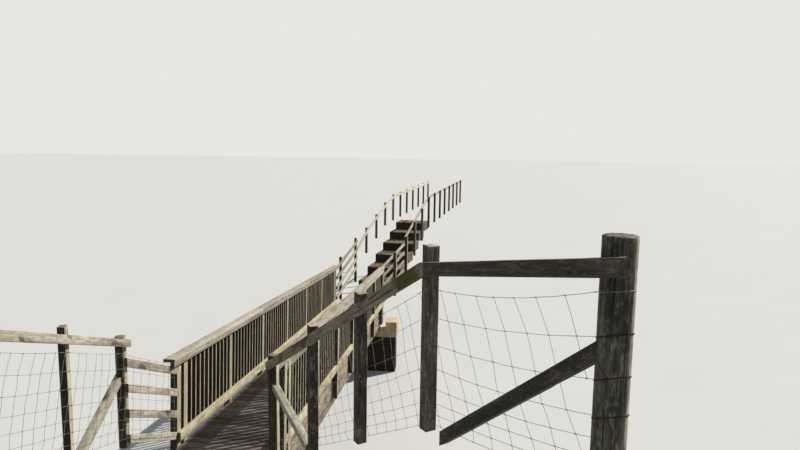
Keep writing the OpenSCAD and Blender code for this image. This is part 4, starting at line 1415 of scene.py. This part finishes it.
def build_bank_works():
    rough_cast("near_bank_seat", SEAT)
    rough_cast("far_bank_seat", SEAT)
    rough_cast("near_abutment_wall", WALL, 0.01, 0.075, 0.005, 0.004)
    rough_cast("far_abutment_wall", WALL, 0.01, 0.075, 0.005, 0.004)
    dress("step_risers", SLEEPER, 0.006, fine=(0.04, 0.03))
    dress("step_side_boards", SLEEPER, 0.005, fine=(0.05, 0.03))
    pads = tidy_copy("bearing_pads", "bearing_pad_blocks")
    ease_edges(pads, 0.002, 2)
    smooth(pads)
    finish_piece(pads, RUBBER, SLOTS["bearing_pads"], "bearing_pads")
    stones = gravel_bed("landing", "landing_gravel") + gravel_bed("step_infill", "tread_gravel")
    scatter("loose_stones", pebble_shape(), stones, 80, TREAD, "gravel")


# Stage

def show_backdrop(graph, output, lighting, seen):
    """What the camera and mirrors see differs from what lights the timber."""
    rays = graph.add("ShaderNodeLightPath")
    glossy = graph.get(rays, "Is Glossy Ray")
    either = graph.math("MAXIMUM", glossy, graph.get(rays, "Is Transmission Ray"))
    either = graph.math("MAXIMUM", graph.get(rays, "Is Camera Ray"), either)
    blend = graph.add("ShaderNodeMixShader")
    graph.fill(blend, either, graph.get(lighting), graph.get(seen))
    graph.put(graph.nodes[output].inputs["Surface"], graph.get(blend))


def build_stage():
    floor = new_shape(bpy.ops.mesh.primitive_plane_add,
        size=600, location=(0, 100, cad_box[0][2] - 0.002))
    floor.name = "studio_floor"
    material = bpy.data.materials.new("pale_floor")
    material.use_nodes = True
    graph = Graph(material.node_tree)
    shader = graph.nodes["Principled BSDF"]
    cloud = graph.noise(graph.place(), 0.5, 2.0)
    pale = graph.mix(cloud, srgb(226, 226, 224), srgb(232, 232, 230))
    graph.fill_named(shader, Base_Color=pale, Roughness=0.9, Specular_IOR_Level=0.1)
    bounce = graph.add("ShaderNodeBsdfDiffuse")
    graph.fill_named(bounce, Color=graph.mix(cloud, srgb(118, 120, 115), srgb(128, 130, 124)))
    show_backdrop(graph, "Material Output", bounce, shader)
    floor.data.materials.append(material)

    world = bpy.data.worlds.new("soft_studio")
    bpy.context.scene.world = world
    world.use_nodes = True
    graph = Graph(world.node_tree)
    sky = graph.nodes["Background"]
    graph.fill_named(sky, Color=(0.86, 0.93, 1.0, 1.0), Strength=0.24)
    plain = graph.add("ShaderNodeBackground")
    graph.fill_named(plain, Color=srgb(231, 231, 227), Strength=1.0)
    show_backdrop(graph, "World Output", sky, plain)

    lamp = bpy.data.lights.new("studio_sun", "SUN")
    lamp.energy = 3.85
    lamp.angle = radians(0.55)
    lamp.color = (1.0, 0.965, 0.9)
    level = cos(SUN_HEIGHT)
    towards = (sin(SUN_BEARING) * level, cos(SUN_BEARING) * level, sin(SUN_HEIGHT))
    show("studio_sun", lamp).rotation_euler = Vector(towards).to_track_quat("Z", "Y").to_euler()

    data = bpy.data.cameras.new("photo_camera")
    data.lens = 27.28
    data.sensor_width = 36
    data.clip_end = 600
    camera = show("photo_camera", data)
    matrix = Matrix.Translation(CAMERA_PLACE)
    for angle, axis in CAMERA_TURNS:
        matrix = matrix @ Matrix.Rotation(radians(angle), 4, axis)
    camera.matrix_world = matrix
    bpy.context.scene.camera = camera
    bpy.context.scene.view_settings.view_transform = "Standard"


# Assembly

build_stage()
nails, bolts = build_bridge()
build_fences()
strainer_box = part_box("right_strainer_post")
round_post("right_strainer_post", *RIGHT_STRAINER.xy, STRAINER_RADIUS, strainer_box,
    STRAINER, 160, scoured=True)
strainer_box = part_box("left_strainer_post")
round_post("left_strainer_post", *LEFT_STRAINER, LEFT_STRAINER_RADIUS, strainer_box,
    DARK_POST, 72)
build_netting()
build_strainer_wraps()
nails += fence_nails()
build_bank_works()
scatter("nail_heads", nail_shape(), nails, 40, NAIL, "wire")
scatter("coach_bolts", coach_bolt_shape(), bolts, 40, FIXING, "wire")
